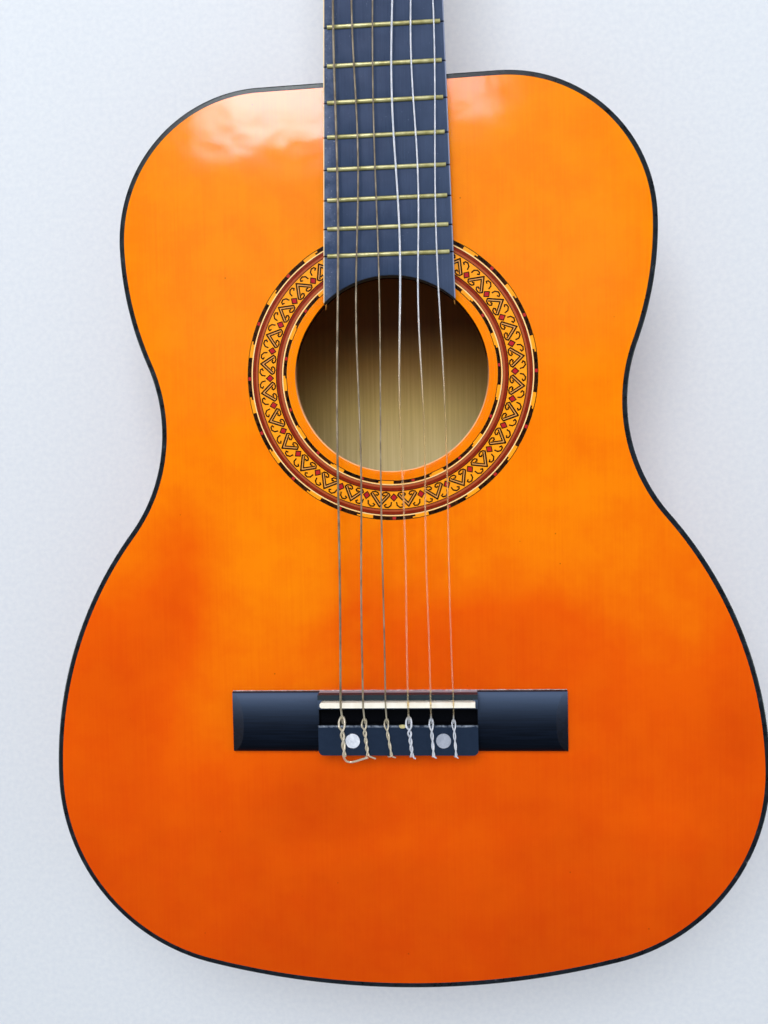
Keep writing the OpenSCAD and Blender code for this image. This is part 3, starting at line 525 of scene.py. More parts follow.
# The recess for the rosette, the land inside it, the softened rim and the hole's wall
for old_r, new_r, z in ((ROSETTE_OUT, ROSETTE_OUT, -ROSETTE_T), (ROSETTE_OUT, ROSETTE_IN, 0),
                        (ROSETTE_IN, ROSETTE_IN, ROSETTE_T), (ROSETTE_IN, HOLE_R + RIM_ROUND, 0),
                        (HOLE_R + RIM_ROUND, HOLE_R + 0.17, -0.17), (HOLE_R + 0.17, HOLE_R, -0.43),
                        (HOLE_R, HOLE_R, RIM_ROUND - TOP_T)):
    step_ring(hole_centre, old_r, new_r, z)
pick(top, "EDGE", lambda e: e.is_boundary and from_hole(e) > ROSETTE_OUT)
push(z=-TOP_T)
pick(top, "EDGE", lambda e: e.is_boundary)
bpy.ops.mesh.fill(use_beauty=True)
finish_piece(top, "soundboard_plate", orange_lacquer, "top_wood", "soundboard")


# ---------- Bindings ----------
# Black plastic strips let into the edges of the top and back, scraped flush and rounded over by
# hand. Knocks have bitten small pieces out of the top one.

def mottled_finish(name, size, detail, shades, depth=0, rough=None, coarse=0.5, **sockets):
    """A finish whose colour, relief and roughness follow one noise: its size and depth are in mm."""
    finish, tree, shader, at = new_finish(name, **sockets)
    noise = add_node(tree, "TexNoise", Vector=at, Scale=1 / (size * MM), Detail=detail, Roughness=coarse)
    set_look(tree, shader, add_node(tree, "ValToRGB", noise, ramp=shades), noise, depth, rough)
    return finish


# Celluloid-like plastic, scraped and buffed: black, with grey scuffs and an uneven shine
black_binding = mottled_finish("black_celluloid_binding", 4, 5, [
    (0.35, "#0E1218"), (0.62, "#1E252F"), (0.78, "#4A5360")], 0.03, (0.18, 0.42), 0.7,
    Specular_Tint=(0.85, 1.0, 0.8, 1.0))


def cut_away(piece, cutter):
    """Cuts one closed mesh out of another, and removes the cutter."""
    cut = piece.modifiers.new("cut", "BOOLEAN")
    cut.operation = "DIFFERENCE"
    cut.solver = "EXACT"
    cut.object = cutter
    take_up(piece)
    bpy.ops.object.modifier_apply(modifier=cut.name)
    bpy.data.objects.remove(cutter)


def roughen(reach, seed):
    """Moves every corner of the active piece at random, by up to a reach in mm, in edit mode."""
    bpy.ops.object.mode_set(mode="EDIT")
    bpy.ops.mesh.select_all(action="SELECT")
    bpy.ops.transform.vertex_random(offset=reach * MM, seed=seed)


def bite_out(piece, place, size, scale, turn, reach, seed):
    """Breaks a rough hollow out of a piece: a size and how uneven it is, in mm."""
    take_up()
    bpy.ops.mesh.primitive_ico_sphere_add(subdivisions=2, radius=size * MM, location=place,
                                          scale=scale, rotation=(0, 0, turn))
    bite = bpy.context.object
    roughen(reach, seed)
    cut_away(piece, bite)


def bind_edge(name, z_low, node, worn_z):
    """A band round the body, its outer corner at worn_z rounded over."""
    band = draw_outline(name, 0, z_low)
    outer = {(round(v.co.x, 6), round(v.co.y, 6)) for v in bmesh.from_edit_mesh(band.data).verts}
    push(z=BINDING_H)
    thicken(band, BINDING_W)

    def on_corner(edge, wanted):
        return (all(abs(v.co.z / MM - worn_z) < 0.01 for v in edge.verts)
                and all(((round(v.co.x, 6), round(v.co.y, 6)) in outer) == wanted for v in edge.verts))

    pick(band, "EDGE", lambda e: on_corner(e, True))
    bpy.ops.mesh.bevel(offset=1.0 * MM, segments=4, profile=0.5)
    pick(band, "EDGE", lambda e: on_corner(e, False))
    bpy.ops.mesh.bevel(offset=0.12 * MM, segments=1)
    finish_piece(band, name, black_binding, "black_plastic", node)
    return band


bind_edge("back_binding_strip", 0, "back_binding", 0)
top_band = bind_edge("top_binding_strip", BODY_DEPTH - BINDING_H, "top_binding", BODY_DEPTH)
# Bites in the top binding: arc centre, distance from it, angle and size
NICKS = [
    (shoulder_c, SHOULDER_R - BINDING_W, 44, 1.5),
    (upper_c, UPPER_R, -9, 1.7),
    (corner_c, CORNER_R, -28, 1.4),
    (upper_c, UPPER_R, -21, 0.8),
    (shoulder_c, SHOULDER_R, 62, 0.8),
    (corner_c, CORNER_R, -52, 0.9),
]
for number, (centre, radius, angle, size) in enumerate(NICKS):
    a = math.radians(angle)
    place = on_body(centre[0] + radius * math.cos(a), centre[1] + radius * math.sin(a), BODY_DEPTH)
    bite_out(top_band, place, size, (1, 1.5, 0.8), a, 0.25 * size, number)


# ---------- Rosette ----------
# A printed ring let into the top round the hole: a gold field between red-brown rings and dashed
# black borders, with a row of small pointed scrolls and red lozenges. Each colour is its own layer.

PRINT_T = 0.04
MOTIF_R = 64


def printed(name, code):
    """A flat ink under the clear lacquer, a little uneven where the print was coarse."""
    ink, tree, shader, at = new_finish(name, Roughness=0.35, Specular_IOR_Level=0.05, Coat_Weight=0.6,
                                       Coat_Roughness=0.12)
    blots = add_node(tree, "TexNoise", Vector=at, Scale=1 / (2 * MM), Detail=2)
    share = add_node(tree, "Math", blots, 0.3, -0.1, operation="MULTIPLY_ADD")
    set_look(tree, shader, lay_over(tree, code, "#B0601C", share), blots, 0)
    return ink


gold_ink = printed("gold_rosette_print", "#FDA018")
black_ink = printed("black_rosette_print", "#0B0706")
red_ink = printed("red_rosette_print", "#7C1E0C")
brown_ink = printed("red_brown_rosette_print", "#A8502E")
cream_ink = printed("cream_rosette_print", "#FFD894")
tan_ink = printed("tan_rosette_print", "#D99A52")
crimson_ink = printed("crimson_rosette_print", "#B01C28")


def add_ring(inner, outer, top_z, depth, sides=192):
    """A closed flat ring round the hole, in edit mode: radii, its top and its depth in mm."""
    place = Vector((0, HOLE_Y, top_z)) * MM
    bpy.ops.mesh.primitive_circle_add(vertices=sides, radius=inner * MM, location=place)
    step_ring(place, inner, outer)
    bpy.ops.mesh.select_linked()
    push(z=-depth)


def start_piece(name):
    """An empty mesh object in edit mode, which primitives are then added to."""
    take_up()
    bpy.ops.mesh.primitive_plane_add(size=MM)
    piece = bpy.context.object
    piece.name = name
    bpy.ops.object.mode_set(mode="EDIT")
    bpy.ops.mesh.select_mode(type="VERT")
    bpy.ops.mesh.delete(type="VERT")
    return piece


ring = start_piece("rosette_ring")
add_ring(ROSETTE_IN + 0.02, ROSETTE_OUT - 0.02, BODY_DEPTH, ROSETTE_T)
finish_piece(ring, "rosette_ring", gold_ink, "rosette_print", "rosette")

# Plain rings of the print: inner and outer radius in mm
RINGS = [
    ("rosette_red_rings", red_ink, [(58.7, 60.2), (71.1, 72.7)]),
    ("rosette_brown_rings", brown_ink, [(57.5, 58.7), (70.1, 71.1)]),
    ("rosette_cream_lines", cream_ink, [(56.75, 57.3), (72.85, 73.4)]),
    ("rosette_dark_lines", black_ink, [(57.3, 57.5), (60.2, 60.6), (69.7, 70.1), (72.7, 72.85)]),
    ("rosette_inner_field", orange_lacquer, [(53.25, 54.7)]),
]
for name, ink, rings in RINGS:
    layer = start_piece(name)
    for inner, outer in rings:
        add_ring(inner, outer, BODY_DEPTH + PRINT_T, PRINT_T)
    finish_piece(layer, name, ink, "rosette_print")


def at_ring(across, out):
    """A place on the ring at its top: mm along the ring from straight up, and mm from the axis."""
    return (-out * math.sin(across / MOTIF_R), HOLE_Y + out * math.cos(across / MOTIF_R))


def add_stroke(points, width, height=2 * PRINT_T):
    """Draws a line of flat closed bars through places along the ring, in edit mode."""
    flat = [at_ring(*p) for p in points]
    for number, ((x0, y0), (x1, y1)) in enumerate(zip(flat, flat[1:])):
        rise = height + 0.004 * number
        bpy.ops.mesh.primitive_cube_add(
            size=1, rotation=(0, 0, math.atan2(y1 - y0, x1 - x0)),
            location=Vector(((x0 + x1) / 2, (y0 + y1) / 2, BODY_DEPTH + rise / 2)) * MM,
            scale=Vector((math.hypot(x1 - x0, y1 - y0) + width * 0.7, width, rise)) * MM)


def add_arc(start, end, inner, outer, height=2 * PRINT_T):
    """Draws a flat closed piece of ring between two places along it, in edit mode."""
    x, y = at_ring(start, inner)
    bpy.ops.mesh.primitive_plane_add(size=MM, location=Vector((x, y, BODY_DEPTH)) * MM)
    bpy.ops.mesh.merge(type="CENTER")
    x, y = (b - a for a, b in zip(at_ring(start, inner), at_ring(start, outer)))
    push(x, y)
    bpy.ops.mesh.select_linked()
    bpy.ops.mesh.spin(steps=8, angle=-(end - start) / MOTIF_R, axis=(0, 0, 1), center=hole_centre)
    bpy.ops.mesh.select_linked()
    push(z=height)


def round_the_hole(count):
    """Repeats everything drawn so far evenly round the ring."""
    bpy.ops.mesh.select_all(action="SELECT")
    bpy.ops.mesh.spin(steps=count - 1, angle=2 * math.pi * (count - 1) / count, dupli=True,
                      center=hole_centre, axis=(0, 0, 1))


SCROLLS = 28
HALF = math.pi * MOTIF_R / SCROLLS
# One scroll, as places along the ring: mm to the side, and mm from the hole's axis
OUTER_V = [(-5.1, 62.6), (0, 68.8), (5.1, 62.6)]
CORE_V = [(-4.5, 62.3), (0, 67.8), (4.5, 62.3)]
INNER_V = [(-3.8, 62.2), (0, 66.8), (3.8, 62.2)]
CURL = [(5.1, 62.6), (4.4, 61.5), (3.0, 61.1), (1.6, 61.4), (1.0, 62.3), (1.6, 63.0), (2.4, 62.7)]
HOOK = [(5.9, 66.3), (5.6, 67.9), (4.3, 69.0), (2.9, 68.8), (2.4, 67.9), (3.2, 67.4)]


def shifted(points, mirror=1):
    """The places of half a scroll, moved to the middle between two lozenges, and mirrored or not."""
    return [(mirror * x + HALF, r) for x, r in points]


scrolls = start_piece("rosette_scrolls")
add_stroke(shifted(OUTER_V), 0.78)
add_stroke(shifted(INNER_V), 0.66)
for mirror in (1, -1):
    add_stroke(shifted(CURL, mirror), 0.72)
    add_stroke(shifted(HOOK, mirror), 0.72)
add_stroke([(0, 61.8), (1.75, 63.7), (0, 65.6), (-1.75, 63.7), (0, 61.8)], 0.5)
round_the_hole(SCROLLS)
finish_piece(scrolls, "rosette_scrolls", black_ink, "rosette_print")

cores = start_piece("rosette_scroll_cores")
add_stroke(shifted(CORE_V), 0.75, PRINT_T)
round_the_hole(SCROLLS)
finish_piece(cores, "rosette_scroll_cores", tan_ink, "rosette_print")

lozenges = start_piece("rosette_lozenges")
x, y = at_ring(0, 63.7)
bpy.ops.mesh.primitive_cube_add(size=1, location=Vector((x, y, BODY_DEPTH + PRINT_T)) * MM,
                                rotation=(0, 0, math.radians(45)),
                                scale=Vector((2.2, 2.2, 2 * PRINT_T)) * MM)
round_the_hole(SCROLLS)
finish_piece(lozenges, "rosette_lozenges", crimson_ink, "rosette_print")

# The two dashed borders: radii, how many dashes, where the first is, and which edge has the line
BORDERS = [
    ("rosette_inner_dashes", 54.85, 56.6, 13, -0.12, (54.7, 55.05)),
    ("rosette_outer_dashes", 73.5, 75.5, 16, 0, (75.2, 75.55)),
]
for name, inner, outer, count, first, line in BORDERS:
    period = 2 * math.pi * MOTIF_R / count
    middle = first * period
    dashes = start_piece(name)
    add_arc(middle - 0.38 * period, middle + 0.38 * period, inner, outer)
    add_arc(middle + 0.37 * period, middle + 0.63 * period, *line, PRINT_T)
    round_the_hole(count)
    finish_piece(dashes, name, black_ink, "rosette_print")
    steps = start_piece(name + "_steps")
    add_arc(middle + 0.33 * period, middle + 0.40 * period, (inner + outer) / 2 - 0.1,
            line[0] - 0.1 if line[0] > outer - 0.5 else outer, 3 * PRINT_T)
    round_the_hole(count)
    finish_piece(steps, name + "_steps", gold_ink, "rosette_print")
    marks = start_piece(name + "_marks")
    add_arc(middle - 0.03 * period, middle + 0.03 * period, inner + 0.3, outer - 0.3, 3 * PRINT_T)
    round_the_hole(count)
    finish_piece(marks, name + "_marks", crimson_ink, "rosette_print")


# ---------- Neck ----------
# One length of pale hardwood, carved round behind and swept down into the heel. It is stained
# and lacquered satin orange-brown, and glued to the end of the body.

def copy_node(node, bevel=0.0, segments=2, angle=40):
    """A copy of a node's mesh, its facets merged, and its sharp edges rounded by a bevel in mm."""
    source = frame["nodes"][node]
    piece = bpy.data.objects.new(node + "_copy", source.data.copy())
    piece.matrix_world = source.matrix_world
    bpy.context.scene.collection.objects.link(piece)
    take_up(piece)
    bpy.ops.object.mode_set(mode="EDIT")
    bpy.ops.mesh.select_all(action="SELECT")
    bpy.ops.mesh.remove_doubles(threshold=0.002 * MM)
    bpy.ops.mesh.dissolve_limited(angle_limit=math.radians(0.5))
    bpy.ops.object.mode_set(mode="OBJECT")
    if bevel:
        edges = piece.modifiers.new("edges", "BEVEL")
        edges.width = bevel * MM
        edges.segments = segments
        edges.limit_method = "ANGLE"
        edges.angle_limit = math.radians(angle)
        bpy.ops.object.modifier_apply(modifier=edges.name)
    bpy.ops.object.mode_set(mode="EDIT")
    return piece


# Satin lacquer over stained hardwood: grain lines in broader bands, and a soft sheen
neck_lacquer, tree, shader, at = new_finish("satin_lacquered_hardwood", Specular_IOR_Level=0.2,
                                            Coat_Weight=0.35, Coat_Roughness=0.2)
grain = wood_grain(tree, at, 0.9, 45)
bands = wood_grain(tree, at, 9, 260)
shade = add_node(tree, "ValToRGB", grain, ramp=[(0.28, "#8A4010"), (0.7, "#B8621C")])
shade = lay_over(tree, shade, "#8A4216", bands, 0.6, blend="MULTIPLY")
set_look(tree, shader, shade, grain, 0.04)

finish_piece(copy_node("neck"), "neck_shaft", neck_lacquer, "neck_wood", "neck")


# ---------- Heel cap ----------
# A thin slip of the same black plastic as the bindings, glued to the foot of the heel and sanded
# flush.

finish_piece(copy_node("heel_cap", 0.4), "heel_cap_slip", black_binding, "black_plastic", "heel_cap")


# ---------- Head ----------
# The neck's wood carries on into a slotted head, tilted back and glued on. Two long slots and six
# cross holes take the rollers, and its edges are sanded soft.

finish_piece(copy_node("head", 0.8, 3), "slotted_head", neck_lacquer, "neck_wood", "head")


# ---------- Fingerboard ----------
# A flat board of stained blackish hardwood glued over neck and top, and cut round at the hole.
# Its bass edge is rubbed pale, its treble edge is pale grey, and its two corners at the hole have
# splintered.

BOARD_Z = BODY_DEPTH + 6.5
NUT_W, NUT_Y = 47, 650
BOARD_TAPER = 15 / 325

# Stained open-pored hardwood, dry and unlacquered: blue-black, dusty, with worn paler places
board_wood, tree, shader, at = new_finish("stained_fingerboard", Specular_IOR_Level=0.15)
axes = add_node(tree, "SeparateXYZ", at).node.outputs
grain = wood_grain(tree, at, 0.7, 30)
pores = wood_grain(tree, at, 0.35, 6)
patches = add_node(tree, "TexNoise", Vector=at, Scale=1 / (14 * MM), Detail=6)
worn = add_node(tree, "TexNoise", Vector=at, Scale=1 / (9 * MM), Detail=5, Roughness=0.65)
specks = add_node(tree, "TexNoise", Vector=at, Scale=1 / (0.8 * MM), Detail=3)
shade = add_node(tree, "ValToRGB", grain, ramp=[(0.3, "#293853"), (0.55, "#2E3E58"), (0.8, "#354661")])
shade = lay_over(tree, shade, "#3E4D6A", add_node(tree, "MapRange", patches, 0.4, 0.65), 0.4)
shade = lay_over(tree, shade, "#27324A", add_node(tree, "MapRange", pores, 0.38, 0.3))
dust = add_node(tree, "Math", specks, 0.735, operation="GREATER_THAN")
shade = lay_over(tree, shade, "#8C99B2", dust, 0.6)
# Distances from the two long edges, which run aslant
half_w = (NUT_W + NUT_Y * BOARD_TAPER) / 2 * MM
half_w = add_node(tree, "Math", axes["Y"], -BOARD_TAPER / 2, half_w, operation="MULTIPLY_ADD")
from_bass = add_node(tree, "Math", axes["X"], half_w, operation="ADD")
from_treble = add_node(tree, "Math", half_w, axes["X"], operation="SUBTRACT")
rubbed = add_node(tree, "Math", add_node(tree, "MapRange", from_bass, 9 * MM, 1.5 * MM),
                  add_node(tree, "MapRange", worn, 0.35, 0.6), operation="MULTIPLY")
shade = lay_over(tree, shade, "#66738F", rubbed, 0.6)
# Painted light: the board is a little lighter towards the treble side
shade = lay_over(tree, shade, "#5C6880", add_node(tree, "MapRange", axes["X"], 2 * MM, 26 * MM), 0.15)
shade = lay_over(tree, shade, "#C3CCDC", add_node(tree, "MapRange", specks, 0.66, 0.72), rubbed)
# The sides get painted shade, and the upper corners are pale: worn to bare wood in the bass, a pale grey
# line in the treble
# Painted shade on the board's sides, below its top
low_shade = add_node(tree, "MapRange", axes["Z"], (BOARD_Z - 0.7) * MM, (BOARD_Z - 1.2) * MM)
shade = lay_over(tree, shade, "#0C1018", low_shade, 0.85)
near_top = add_node(tree, "MapRange", axes["Z"], (BOARD_Z - 0.9) * MM, (BOARD_Z - 0.6) * MM)
for distance, width, code in ((from_bass, 0.62, "#F3D8A6"), (from_treble, 0.75, "#8791AA")):
    corner = add_node(tree, "MapRange", distance, width * MM, 0.4 * MM)
    shade = lay_over(tree, shade, code, corner, near_top)
tree.links.new(add_node(tree, "MapRange", worn, 0, 1, 0.38, 0.62), shader.inputs["Roughness"])
relief = add_node(tree, "Math", worn, 0.5, operation="MULTIPLY")
set_look(tree, shader, shade, add_node(tree, "Math", grain, relief, operation="ADD"), 0.06)

finish_piece(copy_node("fingerboard", 0.45), "fingerboard_plank", board_wood, "board_wood", "fingerboard")

# Torn wood: bare, coarse and dull
splinter_wood, tree, shader, at = new_finish("splintered_bare_wood", Roughness=0.75)
grain = wood_grain(tree, at, 0.3, 3)
set_look(tree, shader, add_node(tree, "ValToRGB", grain, ramp=[(0.3, "#D98A2E"), (0.7, "#F2B45C")]),
         grain, 0.1)

# Slivers of torn wood at the corners: place, turn, length and width
SPLINTERS = [((-33.2, 205.6), -6, 3.6, 0.9), ((-33.75, 208.4), 3, 5.0, 0.5), ((33.3, 205.9), 8, 3.0, 0.8)]
for number, ((x, y), turn, length, width) in enumerate(SPLINTERS):
    take_up()
    bpy.ops.mesh.primitive_cone_add(vertices=7, radius1=width / 2 * MM, radius2=0.08 * MM,
                                    depth=length * MM, location=Vector((x, y, BODY_DEPTH + 0.5)) * MM,
                                    rotation=(math.pi / 2, 0, math.radians(turn)))
    splinter = bpy.context.object
    roughen(0.12, number)
    finish_piece(splinter, "board_splinter_%d" % (number + 1), splinter_wood, "board_wood")


# ---------- Frets ----------
# Eighteen brass wires with round crowns, pressed into saw cuts and filed off round just inside
# the board's edges. They are tarnished greenish, with a painted highlight along the top and painted shade on
# their sides.

# Drawn brass, long unpolished: greenish and half dull, with painted light: bright on its crown and painted
# shade on its sides
fret_brass, tree, shader, at = new_finish("tarnished_fret_brass", Metallic=0.45)
axes = add_node(tree, "SeparateXYZ", at).node.outputs
tarnish = add_node(tree, "TexNoise", Vector=at, Scale=1 / (5 * MM), Detail=4)
bright = add_node(tree, "ValToRGB", tarnish, ramp=[(0.35, "#B3AF70"), (0.65, "#DEDCA2")])
# Painted highlight on the crown, and painted shade on the sides below it
crown = add_node(tree, "MapRange", axes["Z"], (BOARD_Z + 0.55) * MM, (BOARD_Z + 1.0) * MM)
shade = lay_over(tree, lay_over(tree, bright, "#55522A", 0.75), bright, crown)
set_look(tree, shader, shade, tarnish, 0.02, (0.28, 0.45))

wires = copy_node("frets", 0.5, 3, 60)
bpy.ops.mesh.select_all(action="SELECT")
bpy.ops.transform.resize(value=(0.975, 1, 1), center_override=(0, 0, 0))
finish_piece(wires, "fret_wires", fret_brass, "fret_brass", "frets")


# ---------- Nut ----------
# A cream plastic strip glued across the end of the fingerboard, with one round-bottomed notch
# for each string.

# Moulded plastic that imitates bone: warm white, smooth, yellowed in faint clouds
cream_plastic = mottled_finish("cream_plastic", 6, 4, [(0.35, "#EEE9D8"), (0.65, "#F7F4E8")], 0.02,
                               (0.3, 0.5), Coat_Weight=0.3, Coat_Roughness=0.15)

finish_piece(copy_node("nut", 0.5, 3), "nut_strip", cream_plastic, "bone_plastic", "nut")


# ---------- Bridge ----------
# One block of black-stained wood: two crowned wings, and a middle with a saddle slot, a channel and
# a tie block. It is glued and bolted on. A pale line of glue and lifted lacquer runs along its
# front, the tie block's front edge is worn, and a chip is out of it.

BRIDGE_FRONT, BRIDGE_BACK = 4.4, -27.2
BRIDGE_LEN, MIDDLE_LEN = 175.6, 82.6
BRIDGE_H = 9.5
BRIDGE_Z = BODY_DEPTH + BRIDGE_H
CHANNEL_FRONT, CHANNEL_BACK, CHANNEL_FLOOR = -3.1, -11.5, 4
SADDLE_LEN, SADDLE_W = 78, 3.4
SLOT_FLOOR = 3
TIE_HOLE_H, TIE_HOLE_R = 5.6, 0.9
BOLT_X, BOLT_Y = 23.5, -19.6
CHIP = Vector((2.6, -11.7, BRIDGE_Z)) * MM
STRING_D = [1.15, 0.95, 0.8, 1.05, 0.85, 0.75]
STRINGS_AT = [-28.85 + 57.7 / 5 * i for i in range(6)]

# Hardwood under black stain and wax: a low bluish sheen painted on the raised parts, and painted shade at
# the low rear and in the hollows
bridge_wood, tree, shader, at = new_finish("black_stained_bridge_wood", Specular_IOR_Level=0.13)
axes = add_node(tree, "SeparateXYZ", at).node.outputs
grain = add_node(tree, "Mapping", Vector=at, Scale=(1 / (25 * MM), 1 / (0.8 * MM), 1 / (0.8 * MM)))
grain = add_node(tree, "TexNoise", Vector=grain, Scale=1, Detail=4)
rubs = add_node(tree, "TexNoise", Vector=at, Scale=1 / (2.2 * MM), Detail=5, Roughness=0.7)
shade = add_node(tree, "ValToRGB", grain, ramp=[(0.3, "#060C16"), (0.7, "#0E1828")])
# Painted sheen, growing towards the front
painted_front_sheen = add_node(tree, "MapRange", axes["Y"], -22 * MM, 3.5 * MM)
painted_front_sheen = add_node(tree, "Math", painted_front_sheen, 3.0, operation="POWER")
shade = lay_over(tree, shade, "#4E607C", painted_front_sheen, 0.85)
# Painted shade on the low parts at the rear
painted_rear_shade = add_node(tree, "MapRange", axes["Y"], -19 * MM, -26 * MM)
low_shade = add_node(tree, "MapRange", axes["Z"], (BODY_DEPTH + 8.6) * MM, (BODY_DEPTH + 7.6) * MM)
shade = lay_over(tree, shade, "#050A12", painted_rear_shade, low_shade, 0.85)
# Painted shade in the channel behind the saddle, and the tie block behind the channel
past_block = add_node(tree, "MapRange", axes["Y"], (CHANNEL_BACK - 0.2) * MM, CHANNEL_BACK * MM)
past_channel = add_node(tree, "MapRange", axes["Y"], (CHANNEL_FRONT + 0.2) * MM, CHANNEL_FRONT * MM)
from_middle = add_node(tree, "Math", axes["X"], operation="ABSOLUTE")
inside = add_node(tree, "MapRange", from_middle, 41.5 * MM, 41.2 * MM)
shade = lay_over(tree, shade, "#07090E", past_block, past_channel, inside)
block = add_node(tree, "MapRange", axes["Y"], (CHANNEL_BACK + 0.1) * MM, (CHANNEL_BACK - 0.1) * MM)
high = add_node(tree, "MapRange", axes["Z"], (BRIDGE_Z - 1.2) * MM, (BRIDGE_Z - 0.3) * MM)
shade = lay_over(tree, shade, lay_over(tree, "#182538", "#233146", rubs), block, high)
# The front face: black on the wings, and grey with glue at the foot of the middle
face = add_node(tree, "MapRange", axes["Y"], (BRIDGE_FRONT - 0.5) * MM, (BRIDGE_FRONT - 0.1) * MM)
shade = lay_over(tree, shade, "#0A0E15", face)
shade = lay_over(tree, shade, "#243040", face, inside)
foot = add_node(tree, "MapRange", axes["Z"], (BODY_DEPTH + 5) * MM, (BODY_DEPTH + 4) * MM)
shade = lay_over(tree, shade, lay_over(tree, "#7C8494", "#B4BCC8", rubs), face, inside, foot)
# The strip in front of the saddle, the tie block's worn edge, and bare wood in its chip
strip = add_node(tree, "MapRange", axes["Y"], (SADDLE_W / 2 - 0.1) * MM, (SADDLE_W / 2 + 0.1) * MM)
shade = lay_over(tree, shade, "#2C363D", strip, high)
edge = add_node(tree, "Math", axes["Y"], -(CHANNEL_BACK - 0.45) * MM, operation="ADD")
edge = add_node(tree, "Math", edge, operation="ABSOLUTE")
edge = add_node(tree, "MapRange", edge, 0.75 * MM, 0.2 * MM)
shade = lay_over(tree, shade, "#8E99A8", edge, add_node(tree, "MapRange", rubs, 0.4, 0.62), high)
chip = add_node(tree, "Mapping", Vector=at, Location=CHIP, Scale=(2.5 * MM, 1.9 * MM, 2.4 * MM),
                vector_type="TEXTURE")
chip = add_node(tree, "TexGradient", Vector=chip, out="Fac", gradient_type="SPHERICAL")
chip = add_node(tree, "Math", rubs, 0.4, chip, operation="MULTIPLY_ADD")
shade = lay_over(tree, shade, "#C9C08E", add_node(tree, "MapRange", chip, 0.42, 0.5))
tree.links.new(add_node(tree, "MapRange", rubs, 0, 1, 0.38, 0.52), shader.inputs["Roughness"])
set_look(tree, shader, shade, add_node(tree, "Math", rubs, 0.6, grain, operation="MULTIPLY_ADD"), 0.05)


def add_box(low_shade, high):
    """A box between two corners in mm."""
    take_up()
    low_shade, high = Vector(low_shade), Vector(high)
    bpy.ops.mesh.primitive_cube_add(size=1, location=(low_shade + high) / 2 * MM, scale=(high - low_shade) * MM)
    return bpy.context.object


def add_rod(place, radius, length, axis, sides=32):
    """A cylinder about a middle place, along X, Y or Z, in mm."""
    take_up()
    turn = {"X": (0, math.pi / 2, 0), "Y": (math.pi / 2, 0, 0), "Z": (0, 0, 0)}[axis]
    bpy.ops.mesh.primitive_cylinder_add(vertices=sides, radius=radius * MM, depth=length * MM,
                                        location=Vector(place) * MM, rotation=turn)
    return bpy.context.object


def crown_height(u):
    """The wing's height in mm across it, from -1 at the back to 1 at the front."""
    return 1.9 + 4.1 * (1 - abs(u) ** 2.6) ** 0.55


half_span = (BRIDGE_FRONT - BRIDGE_BACK) / 2
middle_y = (BRIDGE_FRONT + BRIDGE_BACK) / 2
wings = new_point("bridge_wings", Vector((-BRIDGE_LEN / 2, BRIDGE_BACK, BODY_DEPTH)) * MM)
place = (0, BRIDGE_BACK, 0)
steps = 28
profile = [(middle_y - half_span * math.cos(math.pi * s / steps),
            crown_height(-math.cos(math.pi * s / steps))) for s in range(steps + 1)]
for y, z in profile + [(BRIDGE_FRONT, 0)]:
    push(0, y - place[1], z - place[2])
    place = (0, y, z)
bpy.ops.mesh.select_all(action="SELECT")
bpy.ops.mesh.edge_face_add()
push(BRIDGE_LEN)
bpy.ops.mesh.select_all(action="SELECT")
bpy.ops.mesh.normals_make_consistent(inside=False)
# Room for the middle, just inside its ends, and the long bevels at the wings' ends
cut_away(wings, add_box((-40.9, -40, 90), (40.9, 20, 110)))
slope = math.atan2(3.6, 6.5)
for hand in (-1, 1):
    take_up()
    bpy.ops.mesh.primitive_cube_add(
        size=1, rotation=(0, hand * slope, 0), scale=Vector((20, 60, 12)) * MM,
        location=Vector((hand * (BRIDGE_LEN / 2 + 6 * math.sin(slope)), 0,
                         BODY_DEPTH + 2.4 + 6 * math.cos(slope))) * MM)
    cut_away(wings, bpy.context.object)
finish_piece(wings, "bridge_wings", bridge_wood, "bridge_wood", smooth=22)


def upright(edge):
    """Whether an edge runs up, and not along or across."""
    return abs(edge.verts[0].co.z - edge.verts[1].co.z) > MM


middle = add_box((-MIDDLE_LEN / 2, BRIDGE_BACK, BODY_DEPTH), (MIDDLE_LEN / 2, BRIDGE_FRONT, BRIDGE_Z))
pick(middle, "EDGE", lambda e: all(v.co.y < 0 for v in e.verts) and upright(e))
bpy.ops.mesh.bevel(offset=2.6 * MM, segments=5)
pick(middle, "EDGE", lambda e: all(v.co.z > (BRIDGE_Z - 0.1) * MM for v in e.verts)
     and any(abs(v.co.y - BRIDGE_FRONT * MM) > 0 for v in e.verts))
bpy.ops.mesh.bevel(offset=1.0 * MM, segments=3)
cut_away(middle, add_box((-50, CHANNEL_BACK, BODY_DEPTH + CHANNEL_FLOOR),
                         (50, CHANNEL_FRONT, BRIDGE_Z + 2.5)))
cut_away(middle, add_box((-SADDLE_LEN / 2, -SADDLE_W / 2, BODY_DEPTH + SLOT_FLOOR),
                         (SADDLE_LEN / 2, SADDLE_W / 2, BRIDGE_Z + 2.5)))
for x in STRINGS_AT:
    cut_away(middle, add_rod((x, -20, BODY_DEPTH + TIE_HOLE_H), TIE_HOLE_R, 20, "Y", 16))
for hand in (-1, 1):
    cut_away(middle, add_rod((hand * BOLT_X, BOLT_Y, BRIDGE_Z), 3.87, 6.4, "Z"))
    cut_away(middle, add_rod((hand * BOLT_X, BOLT_Y, BODY_DEPTH), 2.2, 20, "Z"))
bite_out(middle, CHIP, 1.5, (1.1, 0.8, 0.7), 0, 0.3, 4)
pick(middle, "EDGE", lambda e: all(abs(v.co.y / MM - CHANNEL_BACK) < 0.01 and v.co.z / MM > BODY_DEPTH + 9
                                   for v in e.verts) and e.calc_length() > 2 * MM)
bpy.ops.mesh.bevel(offset=0.45 * MM, segments=3)
finish_piece(middle, "bridge_middle", bridge_wood, "bridge_wood", "bridge")

